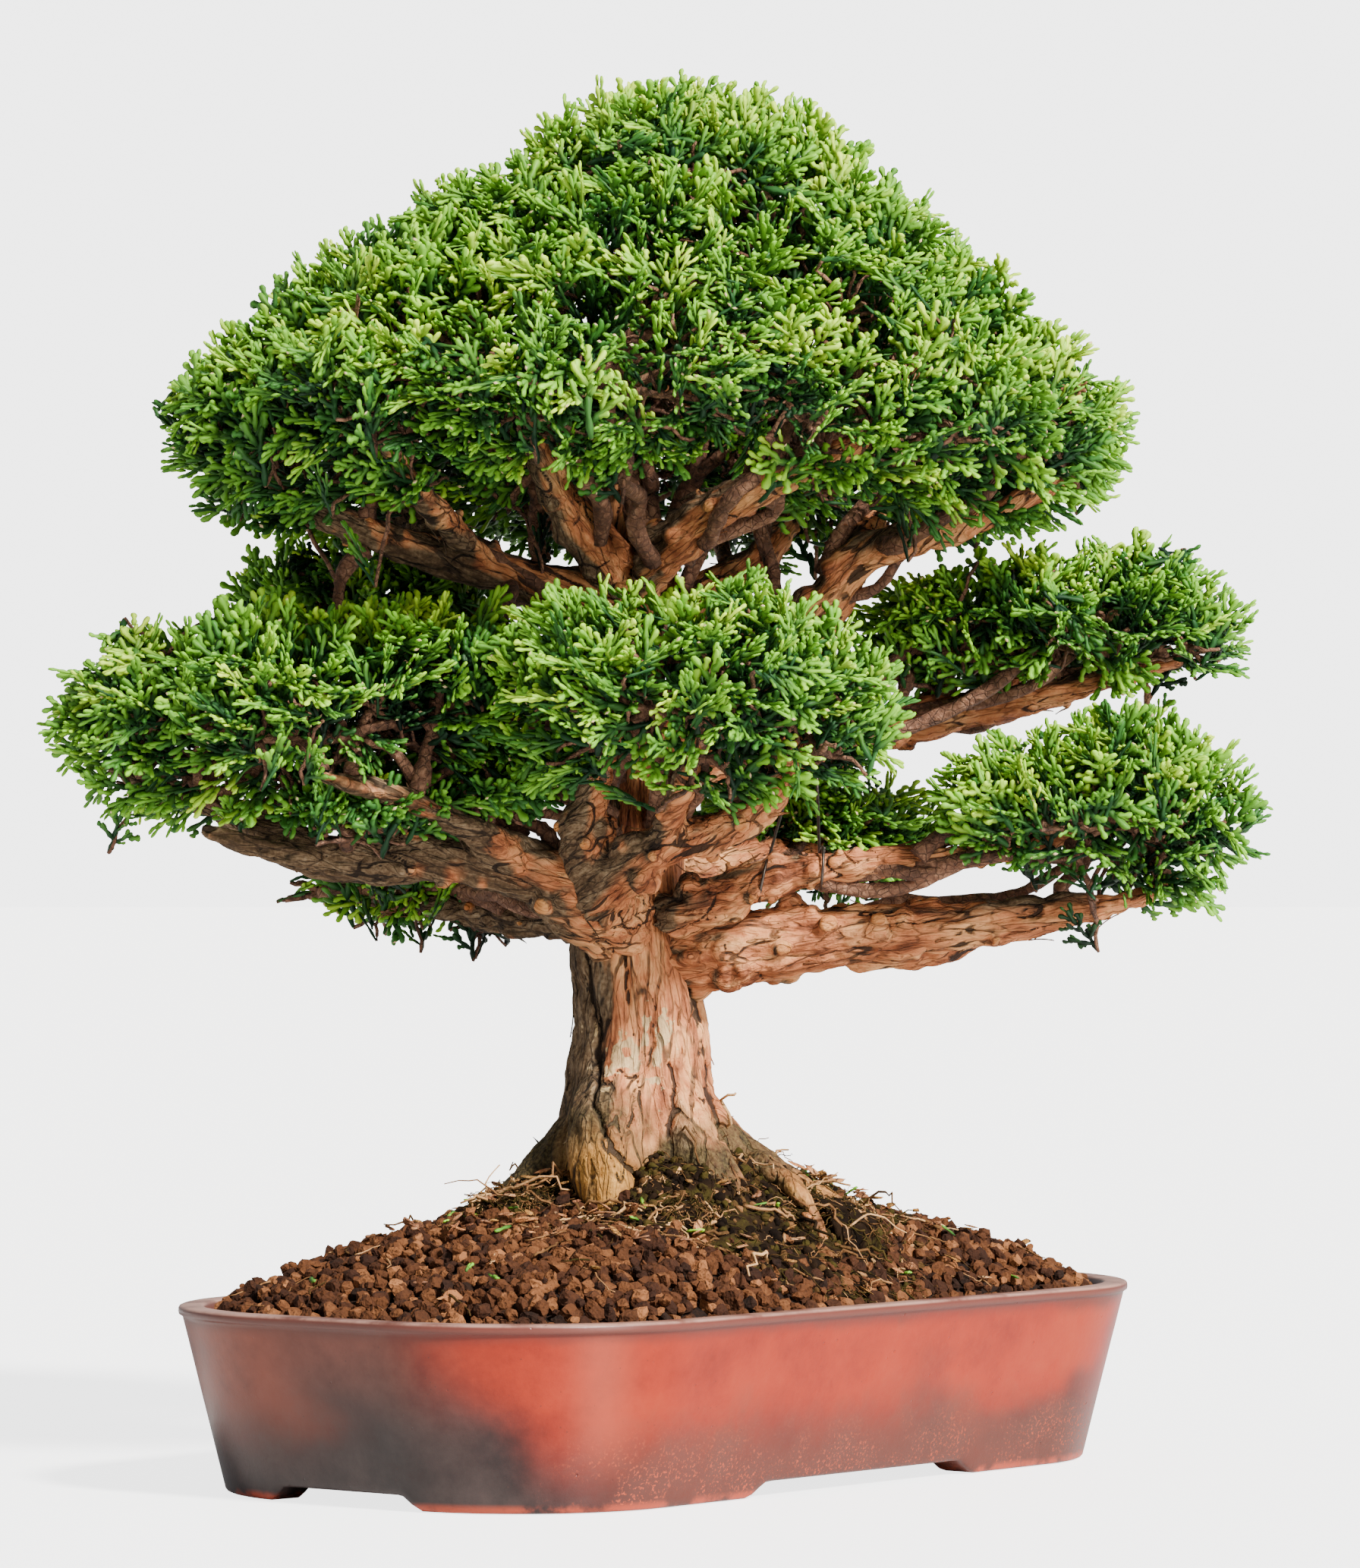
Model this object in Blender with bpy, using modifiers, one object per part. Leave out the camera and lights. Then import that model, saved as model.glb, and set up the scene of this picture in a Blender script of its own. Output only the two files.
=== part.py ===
"""Cypress bonsai in a rounded-rectangle pot.

The pot's underside is at Z = 0 and its centre is the origin. The tree's front faces -Y, and the pot's long
side is turned from +X by pot_turn. Metres, +Z up.
"""

import math

import bmesh
import bpy
from mathutils import Matrix, Vector

for old in list(bpy.data.objects):
    bpy.data.objects.remove(old, do_unlink=True)

# ---------------------------------------------------------------- driving dimensions, metres

pot_length = 0.352
pot_width = 0.196
pot_height = 0.060
pot_corner_radius = 0.073
pot_lean = 0.015  # how far each wall leans in from the rim to the feet
pot_wall = 0.008
pot_floor = 0.006
floor_fillet = 0.006  # slope between the wall and the floor inside
pot_turn = math.radians(51.0)

foot_height = 0.005
foot_width = 0.013  # the ring of clay under the wall that the feet are cut from
long_side_opening = 0.122
short_side_opening = 0.068
opening_slant = 0.011  # how far each end of an opening slopes

rim_lip_height = 0.003
rim_lip_reach = 0.0012
edge_round = 0.0012

drain_hole_radius = 0.009
drain_hole_spacing = 0.170
screen_side = 0.026
screen_thickness = 0.0008
screen_mesh_opening = 0.0042
clip_wire_radius = 0.0005
clip_leg_spacing = 0.0124
clip_foot_length = 0.007

soil_below_rim = 0.003
soil_mound_rise = 0.033
soil_mound_power = 2.2

tree_height = 0.372  # from the soil's crest to the top of the crown
crown_spread = 0.400
crown_depth = 0.300
trunk_width = 0.046
guy_wire_radius = 0.0005
thinnest_twig = 0.0015

gap = 0.0005  # left between pieces that touch
growth_gap = 0.0010  # left round wood and foliage
cutter_overrun = 0.004

# The limbs, roots and foliage are drawn in millimetres on a tree of these sizes, with heights above the soil's crest.
drawn_height = 372.0
drawn_spread = 400.0
drawn_depth = 300.0
drawn_trunk_width = 46.0

# How finely wood and foliage are melted into one skin, and the triangles that each skin may keep.
trunk_voxel = 0.0022
limb_voxel = 0.0014
room_voxel = 0.0020
pad_voxel = 0.0040
trunk_smoothing = 6
limb_smoothing = 4
pad_smoothing = 3
room_smoothing = 2
trunk_triangles = 1200
trunk_room_triangles = 1100
limb_triangles = 110
strand_triangles = 70
limb_room_share = 0.8  # of the limb's own triangles
tier_pad_triangles = 200
crown_pad_triangles = 320

weld_distance = 1e-6
corner_stretch = 1.6  # how much further than the gap a sharp corner of a room may move
least_corner_radius = 0.002
sharp_angle = math.radians(35)

soil_edge_height = pot_height - soil_below_rim
soil_crest = soil_edge_height + soil_mound_rise
floor_top = foot_height + pot_floor

# ---------------------------------------------------------------- collections, materials, placing


def new_collection(name):
    made = bpy.data.collections.new(name)
    bpy.context.scene.collection.children.link(made)
    return made


parts = new_collection("bonsai")
cutters = new_collection("cutters")


def material(name, colour, roughness, metallic=0.0):
    made = bpy.data.materials.new(name)
    made.use_nodes = True
    shader = made.node_tree.nodes["Principled BSDF"]
    shader.inputs["Base Color"].default_value = (*colour, 1.0)
    shader.inputs["Roughness"].default_value = roughness
    shader.inputs["Metallic"].default_value = metallic
    return made


fired_clay = material("fired_clay", (0.47, 0.12, 0.07), 0.35)
clay_grains = material("clay_grains", (0.18, 0.06, 0.03), 0.9)
bark = material("bark", (0.33, 0.15, 0.09), 0.85)
foliage = material("foliage", (0.09, 0.27, 0.04), 0.6)
moss = material("moss", (0.05, 0.05, 0.02), 0.95)
dark_wire = material("dark_wire", (0.06, 0.05, 0.05), 0.5, 1.0)
plastic_mesh = material("plastic_mesh", (0.03, 0.03, 0.03), 0.6)


def in_tree(x, y, z):
    """A point of the drawn tree, placed in the model."""
    return Vector(
        (
            x * crown_spread / drawn_spread,
            y * crown_depth / drawn_depth,
            soil_crest + z * tree_height / drawn_height,
        )
    )


def girth(radius):
    """A limb's drawn radius, scaled with the trunk."""
    return radius * trunk_width / drawn_trunk_width


def add_object(name, mesh, finish, collection=parts):
    made = bpy.data.objects.new(name, mesh)
    collection.objects.link(made)
    if finish:
        mesh.materials.clear()
        mesh.materials.append(finish)
    return made


def as_cutter(obj):
    obj.hide_render = True
    obj.display_type = "WIRE"
    return obj


def evaluated_mesh(obj):
    return bpy.data.meshes.new_from_object(obj.evaluated_get(bpy.context.evaluated_depsgraph_get()))


def settle(obj):
    """Turns the object's modifiers into its mesh."""
    mesh = evaluated_mesh(obj)
    obj.modifiers.clear()
    obj.data = mesh
    return obj


def cut(obj, cutter):
    modifier = obj.modifiers.new("cut_" + cutter.name, "BOOLEAN")
    modifier.operation = "DIFFERENCE"
    modifier.solver = "EXACT"
    modifier.object = cutter
    return modifier


# ---------------------------------------------------------------- rings and lofts


def rounded_ring(length, width, radius, z, corner_points=7):
    """Points round a rounded rectangle, counter-clockwise from above."""
    points = []
    radius = min(radius, length / 2, width / 2)
    corners = ((1, 1, 0), (-1, 1, 90), (-1, -1, 180), (1, -1, 270))
    for sign_x, sign_y, start in corners:
        for step in range(corner_points):
            angle = math.radians(start + 90 * step / (corner_points - 1))
            x = sign_x * (length / 2 - radius) + radius * math.cos(angle)
            y = sign_y * (width / 2 - radius) + radius * math.sin(angle)
            points.append(Vector((x, y, z)))
    return points


def pot_ring(inset, z, corner_points=7):
    """A ring that follows the pot's rim outline, moved in by inset."""
    return rounded_ring(
        pot_length - 2 * inset,
        pot_width - 2 * inset,
        max(pot_corner_radius - inset, least_corner_radius),
        z,
        corner_points,
    )


def loft(name, rings, finish, collection=parts, peak=None):
    """A closed body through rings of equal count, capped at both ends or drawn to a peak."""
    shape = bmesh.new()
    loops = [[shape.verts.new(point) for point in ring] for ring in rings]
    count = len(loops[0])
    for low, high in zip(loops, loops[1:]):
        for i in range(count):
            j = (i + 1) % count
            shape.faces.new((low[i], low[j], high[j], high[i]))
    shape.faces.new(list(reversed(loops[0])))
    if peak is None:
        shape.faces.new(loops[-1])
    else:
        top = shape.verts.new(peak)
        for i in range(count):
            shape.faces.new((loops[-1][i], loops[-1][(i + 1) % count], top))
    mesh = bpy.data.meshes.new(name)
    shape.to_mesh(mesh)
    shape.free()
    return add_object(name, mesh, finish, collection)


pot_axis = bpy.data.objects.new("pot_axis", None)
parts.objects.link(pot_axis)
pot_axis.rotation_euler = (0.0, 0.0, pot_turn)

# ---------------------------------------------------------------- pot


def wall_inset(z):
    """How far the pot's outer face stands in from its rim at a height."""
    return pot_lean * (1.0 - z / pot_height)


def primitive_box(name, size, centre):
    bpy.ops.mesh.primitive_cube_add(size=1.0, location=centre)
    box = bpy.context.object
    box.name = name
    box.scale = size
    bpy.ops.object.transform_apply(location=False, rotation=False, scale=True)
    for home in list(box.users_collection):
        home.objects.unlink(box)
    cutters.objects.link(box)
    box.parent = pot_axis
    return as_cutter(box)


def primitive_rod(name, radius, depth, centre, sides=24):
    bpy.ops.mesh.primitive_cylinder_add(vertices=sides, radius=radius, depth=depth, location=centre)
    rod = bpy.context.object
    rod.name = name
    for home in list(rod.users_collection):
        home.objects.unlink(rod)
    cutters.objects.link(rod)
    rod.parent = pot_axis
    return as_cutter(rod)


def side_opening(name, bottom_length, reach, along_x):
    """A prism with sloped ends that opens the foot ring on two opposite sides."""
    low, high = bottom_length / 2, bottom_length / 2 - opening_slant
    below = cutter_overrun
    spread = opening_slant * below / foot_height
    outline = [(-low - spread, -below), (low + spread, -below), (high, foot_height), (-high, foot_height)]
    shape = bmesh.new()
    front = [shape.verts.new((x, -reach, z)) for x, z in outline]
    back = [shape.verts.new((x, reach, z)) for x, z in outline]
    shape.faces.new(front)
    shape.faces.new(list(reversed(back)))
    for i in range(4):
        j = (i + 1) % 4
        shape.faces.new((front[j], front[i], back[i], back[j]))
    mesh = bpy.data.meshes.new(name)
    shape.to_mesh(mesh)
    shape.free()
    prism = as_cutter(add_object(name, mesh, None, cutters))
    prism.parent = pot_axis
    if not along_x:
        prism.rotation_euler = (0.0, 0.0, math.radians(90))
    return prism


drain_places = (-drain_hole_spacing / 2, drain_hole_spacing / 2)


def make_pot():
    lip_base = pot_height - rim_lip_height
    lip = wall_inset(lip_base) - rim_lip_reach
    rings = [
        pot_ring(pot_lean + 0.7 * edge_round, 0.0),
        pot_ring(wall_inset(edge_round), edge_round),
        pot_ring(wall_inset(lip_base - edge_round / 2), lip_base - edge_round / 2),
        pot_ring(lip, lip_base),
        pot_ring(lip, pot_height - edge_round),
        pot_ring(lip + edge_round, pot_height),
        pot_ring(pot_wall - edge_round, pot_height),
        pot_ring(pot_wall, pot_height - edge_round),
        pot_ring(pot_wall + wall_inset(floor_top + floor_fillet), floor_top + floor_fillet),
        pot_ring(pot_wall + wall_inset(floor_top) + floor_fillet, floor_top),
    ]
    pot = loft("pot", rings, fired_clay)
    pot.parent = pot_axis
    ring_inside = pot_lean + foot_width
    recess = loft(
        "foot_recess",
        [pot_ring(ring_inside, -cutter_overrun), pot_ring(ring_inside, foot_height)],
        None,
        cutters,
    )
    recess.parent = pot_axis
    cut(pot, as_cutter(recess))
    cut(pot, side_opening("long_side_openings", long_side_opening, pot_width, True))
    cut(pot, side_opening("short_side_openings", short_side_opening, pot_length, False))
    for number, x in enumerate(drain_places):
        hole_centre = (x, 0.0, foot_height + pot_floor / 2)
        cut(pot, primitive_rod(f"drain_hole_{number}", drain_hole_radius, 4 * pot_floor, hole_centre))
    return pot


# ---------------------------------------------------------------- drain screens and their clips


def make_screen(name, x):
    bpy.ops.mesh.primitive_cube_add(size=1.0, location=(x, 0.0, floor_top + gap + screen_thickness / 2))
    screen = bpy.context.object
    screen.name = name
    screen.scale = (screen_side, screen_side, screen_thickness)
    bpy.ops.object.transform_apply(location=False, rotation=False, scale=True)
    for home in list(screen.users_collection):
        home.objects.unlink(screen)
    parts.objects.link(screen)
    screen.parent = pot_axis
    screen.data.materials.append(plastic_mesh)
    pitch = clip_leg_spacing / 2
    for row in (-1, 0, 1):
        for column in (-1, 0, 1):
            centre = (x + column * pitch, row * pitch, floor_top)
            size = (screen_mesh_opening, screen_mesh_opening, 0.006)
            cut(screen, primitive_box(f"{name}_opening_{row}_{column}", size, centre))
    return screen


def rounded_route(points, steps):
    """A smooth curve through the points, as steps points for each stretch."""
    route = []
    ends = [2 * points[0] - points[1], *points, 2 * points[-1] - points[-2]]
    for i in range(1, len(ends) - 2):
        a, b, c, d = ends[i - 1 : i + 3]
        for step in range(steps):
            t = step / steps
            route.append(
                0.5
                * (
                    2 * b
                    + (c - a) * t
                    + (2 * a - 5 * b + 4 * c - d) * t * t
                    + (3 * b - a - 3 * c + d) * t * t * t
                )
            )
    return [*route, points[-1]]


def wire(name, points, radius, finish, collection=parts):
    curve = bpy.data.curves.new(name, "CURVE")
    curve.dimensions = "3D"
    curve.bevel_depth = radius
    curve.bevel_resolution = 2
    curve.use_fill_caps = True
    spline = curve.splines.new("POLY")
    spline.points.add(len(points) - 1)
    for target, point in zip(spline.points, points):
        target.co = (*point, 1.0)
    if finish:
        curve.materials.append(finish)
    made = bpy.data.objects.new(name, curve)
    collection.objects.link(made)
    return made


def make_clip(name, x):
    """A bent wire: its bridge lies on the screen and its legs turn outward under the pot's floor."""
    leg = clip_leg_spacing / 2
    top = floor_top + 2 * gap + screen_thickness + clip_wire_radius
    under = foot_height - gap - clip_wire_radius
    far = drain_hole_radius + clip_foot_length
    corner = 0.0012
    half = [  # from the end of one foot to the middle of the bridge
        Vector((x + far, 0.0, under)),
        Vector((x + leg + corner, 0.0, under)),
        Vector((x + leg, 0.0, under + corner)),
        Vector((x + leg, 0.0, top - corner)),
        Vector((x + leg - corner, 0.0, top)),
    ]
    other = [Vector((2 * x - point.x, point.y, point.z)) for point in reversed(half)]
    clip = wire(name, half + other, clip_wire_radius, dark_wire)
    clip.parent = pot_axis
    return clip


# ---------------------------------------------------------------- wood


def welded_mesh(obj):
    """The evaluated mesh of a curve, with its loose caps welded."""
    mesh = evaluated_mesh(obj)
    shape = bmesh.new()
    shape.from_mesh(mesh)
    bmesh.ops.remove_doubles(shape, verts=shape.verts, dist=weld_distance)
    bmesh.ops.recalc_face_normals(shape, faces=shape.faces)
    shape.to_mesh(mesh)
    shape.free()
    return mesh


def strand_mesh(name, strand, extra=0.0, steps=4):
    """A tapering tube through drawn points (x, y, height, radius), made larger all round by extra."""
    centres = rounded_route([in_tree(x, y, z) for x, y, z, _ in strand], steps)
    centres[0] -= (centres[1] - centres[0]).normalized() * extra
    centres[-1] += (centres[-1] - centres[-2]).normalized() * extra
    radii = rounded_route([Vector((girth(r), 0.0, 0.0)) for _, _, _, r in strand], steps)
    curve = bpy.data.curves.new(name, "CURVE")
    curve.dimensions = "3D"
    curve.bevel_depth = 1.0  # each point's radius is then in metres
    curve.bevel_resolution = 3
    curve.use_fill_caps = True
    spline = curve.splines.new("POLY")
    spline.points.add(len(centres) - 1)
    for target, centre, radius in zip(spline.points, centres, radii):
        target.co = (*centre, 1.0)
        target.radius = max(radius.x, thinnest_twig) + extra
    holder = bpy.data.objects.new(name, curve)
    cutters.objects.link(holder)
    mesh = welded_mesh(holder)
    bpy.data.objects.remove(holder, do_unlink=True)
    return mesh


def joined(name, meshes, finish, collection=parts):
    """One object that holds several closed meshes."""
    shape = bmesh.new()
    for mesh in meshes:
        shape.from_mesh(mesh)
    mesh = bpy.data.meshes.new(name)
    shape.to_mesh(mesh)
    shape.free()
    return add_object(name, mesh, finish, collection)


def fuse(obj, voxel, smoothing, most_triangles):
    """Melts overlapping bodies into one skin, then thins it to its triangle budget."""
    remesh = obj.modifiers.new("fuse", "REMESH")
    remesh.mode = "VOXEL"
    remesh.voxel_size = voxel
    smooth = obj.modifiers.new("smooth", "SMOOTH")
    smooth.factor = 0.5
    smooth.iterations = smoothing
    settle(obj)
    triangles = 2 * len(obj.data.polygons)
    thin = obj.modifiers.new("thin", "DECIMATE")
    thin.ratio = min(1.0, most_triangles / triangles)
    settle(obj)
    return keep_main_body(obj)


def bodies_of(shape):
    """The connected groups of a bmesh's faces, largest volume first."""
    unseen = set(shape.faces)
    found = []
    while unseen:
        edge_faces = [unseen.pop()]
        group = set(edge_faces)
        while edge_faces:
            face = edge_faces.pop()
            for edge in face.edges:
                for neighbour in edge.link_faces:
                    if neighbour in unseen:
                        unseen.discard(neighbour)
                        group.add(neighbour)
                        edge_faces.append(neighbour)
        volume = sum(
            face.calc_area() * face.normal.dot(face.calc_center_median()) / 3 for face in group
        )
        found.append((abs(volume), group))
    return [group for _, group in sorted(found, key=lambda entry: -entry[0])]


def keep_main_body(obj):
    """Clears the crumbs that a cut leaves beside the main body."""
    shape = bmesh.new()
    shape.from_mesh(obj.data)
    crumbs = [face for group in bodies_of(shape)[1:] for face in group]
    bmesh.ops.delete(shape, geom=crumbs, context="FACES")
    loose = [vertex for vertex in shape.verts if not vertex.link_faces]
    bmesh.ops.delete(shape, geom=loose, context="VERTS")
    shape.to_mesh(obj.data)
    shape.free()
    return obj


def room_for(obj):
    """A cutter shaped like the object and larger all round by the growth gap."""
    mesh = evaluated_mesh(obj)
    mesh.transform(obj.matrix_world)
    shape = bmesh.new()
    shape.from_mesh(mesh)
    bmesh.ops.triangulate(shape, faces=shape.faces)
    shape.normal_update()
    moves = [vertex.normal * min(vertex.calc_shell_factor(), corner_stretch) for vertex in shape.verts]
    for vertex, move in zip(shape.verts, moves):
        vertex.co += move * growth_gap
    shape.to_mesh(mesh)
    shape.free()
    return as_cutter(add_object(obj.name + "_room", mesh, None, cutters))


def corners(obj):
    points = [obj.matrix_world @ Vector(corner) for corner in obj.bound_box]
    low = Vector(min(point[axis] for point in points) for axis in range(3))
    high = Vector(max(point[axis] for point in points) for axis in range(3))
    return low, high


def near(first, second):
    low_a, high_a = corners(first)
    low_b, high_b = corners(second)
    return all(low_a[i] < high_b[i] + gap and low_b[i] < high_a[i] + gap for i in range(3))


def make_room(obj, rooms):
    """Cuts the object back from the room of each neighbour that it reaches."""
    bpy.context.view_layer.update()
    for room in rooms:
        if near(obj, room):
            cut(obj, room).solver = "MANIFOLD"
    return keep_main_body(settle(obj))


trunk_strands = [
    # the trunk, from the root ball to the top of the crown
    [
        (-7, 2, -22, 30),
        (-7, 0, 2, 38),
        (-8, 0, 16, 30),
        (-9, 0, 36, 26),
        (-8, 0, 58, 23),
        (-12, 0, 80, 20.5),
        (-13, 2, 96, 19),
        (-10, 5, 116, 17),
        (-10, 8, 141, 15),
        (-12, 8, 167, 13.5),
        (-14, 8, 192, 12),
        (-14, 8, 207, 10.5),
        (-16, 8, 232, 8.5),
        (-8, 5, 262, 7),
        (2, 2, 296, 5),
        (6, 0, 330, 3.5),
        (5, 0, 348, 2.2),
    ],
    # surface roots: left, front bulge, right, front right, pale front, back left, back right, back
    [(-22, -4, 24, 13), (-44, -8, 5, 9.5), (-62, -12, -9, 6), (-76, -14, -20, 3.5)],
    [(-14, -12, 40, 14), (-20, -31, 18, 14), (-17, -42, 0, 9), (-8, -50, -16, 5)],
    [(8, -4, 28, 11.5), (27, -6, 13, 8), (47, -2, 3, 6), (66, 6, -9, 4.5), (76, 12, -20, 3.5)],
    [(2, -14, 30, 13), (16, -30, 10, 9), (30, -40, -6, 5), (38, -46, -18, 3.5)],
    [(30, -14, 14, 6), (42, -26, 6, 4), (50, -33, -6, 3.5), (54, -37, -18, 3)],
    [(-20, 14, 28, 13), (-34, 30, 10, 9), (-44, 42, -6, 6), (-50, 48, -20, 4)],
    [(6, 14, 28, 13), (22, 34, 10, 8), (34, 54, -4, 5.5), (44, 68, -18, 4)],
    [(-8, 20, 26, 13), (-10, 38, 8, 9), (-6, 56, -8, 5), (-4, 64, -20, 4)],
    # two forks that carry the top of the crown
    [(-15, 8, 236, 7), (-50, 12, 268, 5), (-88, 10, 292, 3)],
    [(-9, 5, 258, 6), (34, -4, 290, 4.5), (66, -10, 304, 3)],
]

# Each limb is a list of strands. Later limbs are cut back from earlier ones.
limb_strands = {
    "left_limb": [
        [
            (-8, -6, 86, 13),
            (-28, -24, 99, 12.5),
            (-46, -34, 111, 10),
            (-68, -36, 115, 8.5),
            (-107, -36, 113, 7),
            (-133, -32, 125, 5.5),
            (-162, -28, 136, 4),
            (-184, -24, 144, 2.5),
        ],
        [(-42, -32, 110, 7.5), (-60, -50, 122, 5.5), (-85, -64, 134, 4), (-112, -72, 142, 2.5)],
        [(-46, -32, 112, 7), (-62, -14, 126, 5), (-88, 2, 140, 3.5), (-118, 12, 146, 2.5)],
        [(-107, -36, 113, 6), (-130, -44, 117, 4), (-152, -48, 124, 2.5)],
    ],
    "front_limb": [
        [
            (-12, -8, 96, 12),
            (-22, -34, 103, 11),
            (-2, -54, 118, 7.5),
            (26, -68, 126, 6.5),
            (38, -82, 140, 4.5),
            (44, -94, 154, 3),
        ],
        [(-22, -34, 103, 9), (-26, -46, 124, 8), (-22, -54, 144, 5.5), (-14, -70, 162, 3)],
        [(-2, -54, 118, 6), (6, -82, 138, 4), (12, -108, 156, 2.5)],
    ],
    "right_limb": [
        [
            (-4, -2, 78, 13),
            (28, -6, 85, 12.5),
            (54, -8, 88, 10),
            (91, -10, 91, 8),
            (125, -14, 96, 6),
            (150, -16, 99, 4),
            (170, -16, 108, 2.5),
        ],
        [(60, -6, 86, 7), (84, -2, 82, 5.5), (108, 2, 90, 4.5), (134, 8, 100, 3)],
    ],
    "right_strand": [
        [
            (-2, -10, 92, 8),
            (28, -18, 106, 6.5),
            (59, -20, 112, 5),
            (91, -22, 114, 4.5),
            (112, -24, 116, 3.5),
            (138, -30, 124, 2.2),
        ]
    ],
    "right_upper_limb": [
        [
            (-6, 8, 138, 10),
            (25, 30, 148, 9),
            (70, 48, 158, 8),
            (110, 52, 166, 6),
            (146, 54, 174, 4.5),
            (176, 54, 182, 2.5),
        ],
        [(92, 50, 162, 5), (112, 68, 172, 4), (132, 86, 182, 2.5)],
    ],
    "back_right_limb": [[(-4, 8, 108, 9), (18, 40, 112, 7), (44, 70, 116, 5), (62, 98, 122, 2.8)]],
    "back_left_low_limb": [[(-12, 6, 92, 8), (-45, 40, 93, 5.5), (-75, 66, 97, 4), (-103, 84, 102, 2.4)]],
    "back_left_limb": [[(-10, 10, 160, 9), (-40, 40, 174, 7), (-75, 66, 186, 5), (-114, 84, 196, 3)]],
    "crown_left_limb": [
        [
            (-14, 4, 192, 10),
            (-40, -6, 205, 8),
            (-80, -16, 216, 6.5),
            (-113, -24, 228, 5),
            (-138, -28, 244, 3),
        ],
        [(-60, -11, 212, 5.5), (-78, -44, 232, 4), (-92, -70, 250, 2.5)],
        [(-70, -14, 216, 5), (-98, 14, 238, 4), (-118, 36, 254, 2.5)],
    ],
    "crown_front_limb": [
        [
            (-13, 2, 202, 9),
            (-24, -20, 219, 8),
            (-36, -44, 234, 6),
            (-42, -72, 250, 4),
            (-44, -94, 264, 2.5),
        ]
    ],
    "crown_centre_limb": [
        [
            (-11, 4, 204, 9),
            (-2, -18, 214, 8),
            (18, -36, 230, 7),
            (48, -52, 242, 5),
            (74, -68, 256, 3),
        ]
    ],
    "crown_right_limb": [
        [
            (-6, 10, 150, 11),
            (26, 14, 174, 10),
            (50, 12, 194, 9),
            (64, 6, 214, 7),
            (86, -2, 222, 6),
            (107, -10, 228, 4.5),
            (132, -16, 240, 3),
        ],
        [(64, 6, 212, 6), (72, 26, 236, 4.5), (86, 46, 260, 2.5)],
    ],
    "crown_back_limb": [
        [(-12, 12, 180, 9), (8, 36, 200, 8), (32, 54, 216, 6), (46, 76, 238, 4), (52, 96, 258, 2.5)],
        [(8, 36, 200, 5.5), (-20, 62, 222, 4.5), (-44, 88, 246, 2.5)],
    ],
}


def wood_room(name, strands, most_triangles):
    """A cutter shaped like the strands and larger all round, for the pieces that grow round them."""
    fat_meshes = [strand_mesh(name + "_strand", strand, 2 * growth_gap) for strand in strands]
    room = fuse(joined(name + "_room", fat_meshes, None, cutters), room_voxel, room_smoothing, most_triangles)
    return as_cutter(room)


def make_trunk():
    meshes = [strand_mesh("trunk_strand", strand) for strand in trunk_strands]
    return fuse(joined("trunk", meshes, bark), trunk_voxel, trunk_smoothing, trunk_triangles)


def make_limb(name, strands):
    """A limb, cut back from the wood made before it."""
    budget = limb_triangles + strand_triangles * len(strands)
    meshes = [strand_mesh(name + "_strand", strand) for strand in strands]
    limb = fuse(joined(name, meshes, bark), limb_voxel, limb_smoothing, budget)
    make_room(limb, wood_rooms.values())
    wood_rooms[name] = wood_room(name, strands, limb_room_share * budget)
    return limb


# ---------------------------------------------------------------- foliage

# Each tier is a list of drawn cushions: centre x, y, height and radii along x, y, z.
tier_cushions = {
    "left_pad": [
        (-166, -30, 158, 34, 42, 32),
        (-126, -42, 162, 44, 56, 34),
        (-124, 6, 162, 42, 40, 30),
        (-86, -40, 168, 40, 48, 28),
        (-60, -56, 174, 30, 32, 24),
        (-92, 12, 170, 38, 32, 25),
    ],
    "front_pad": [
        (-18, -94, 168, 32, 40, 32),
        (20, -104, 168, 36, 40, 36),
        (50, -88, 162, 25, 34, 28),
        (12, -70, 176, 40, 28, 24),
        (-36, -78, 174, 20, 28, 24),
    ],
    "right_low_pad": [
        (118, -20, 134, 28, 34, 19),
        (150, -22, 134, 33, 42, 28),
        (171, -16, 126, 25, 34, 27),
        (150, 12, 130, 32, 30, 24),
        (118, -40, 130, 26, 24, 16),
    ],
    "right_upper_pad": [
        (92, 50, 192, 26, 34, 18),
        (125, 52, 196, 32, 42, 21),
        (157, 54, 196, 31, 42, 24),
        (180, 54, 188, 20, 30, 17),
        (130, 84, 192, 36, 28, 18),
    ],
    "back_right_pad": [
        (44, 86, 124, 32, 32, 21),
        (70, 96, 122, 27, 32, 20),
        (50, 116, 124, 32, 25, 19),
    ],
    "back_left_low_pad": [
        (-93, 80, 106, 28, 28, 11),
        (-64, 74, 107, 28, 26, 12),
        (-88, 100, 107, 28, 20, 10),
    ],
    "back_left_pad": [
        (-120, 82, 204, 30, 32, 15),
        (-86, 78, 204, 30, 30, 15),
        (-100, 108, 204, 32, 24, 14),
    ],
}

# The crown is rings of cushions: count, ring radii along x and y, height, cushion radii along x and z.
crown_rings = [
    (12, 112, 96, 256, 50, 35),
    (12, 84, 74, 284, 46, 37),
]
front_arch = 9  # how far the crown's underside is raised at the front, above and below each low cushion's middle
arched_below = 270
sector_reach = 62  # degrees to each side, so that neighbours meet along a cut
crown_lean = -6  # the low rings stand this far to the left of the trunk's line
crown_flatness = 0.94  # a ring cushion's depth, as a share of its width
core_cushion = (48, 44, 270, 48, 46, 40)  # the quarter's inner cushion: reach along x and y, height and radii
core_lean = -4
crown_sectors = {"crown_left_pad": 180, "crown_right_pad": 0, "crown_front_pad": 270, "crown_back_pad": 90}


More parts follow.
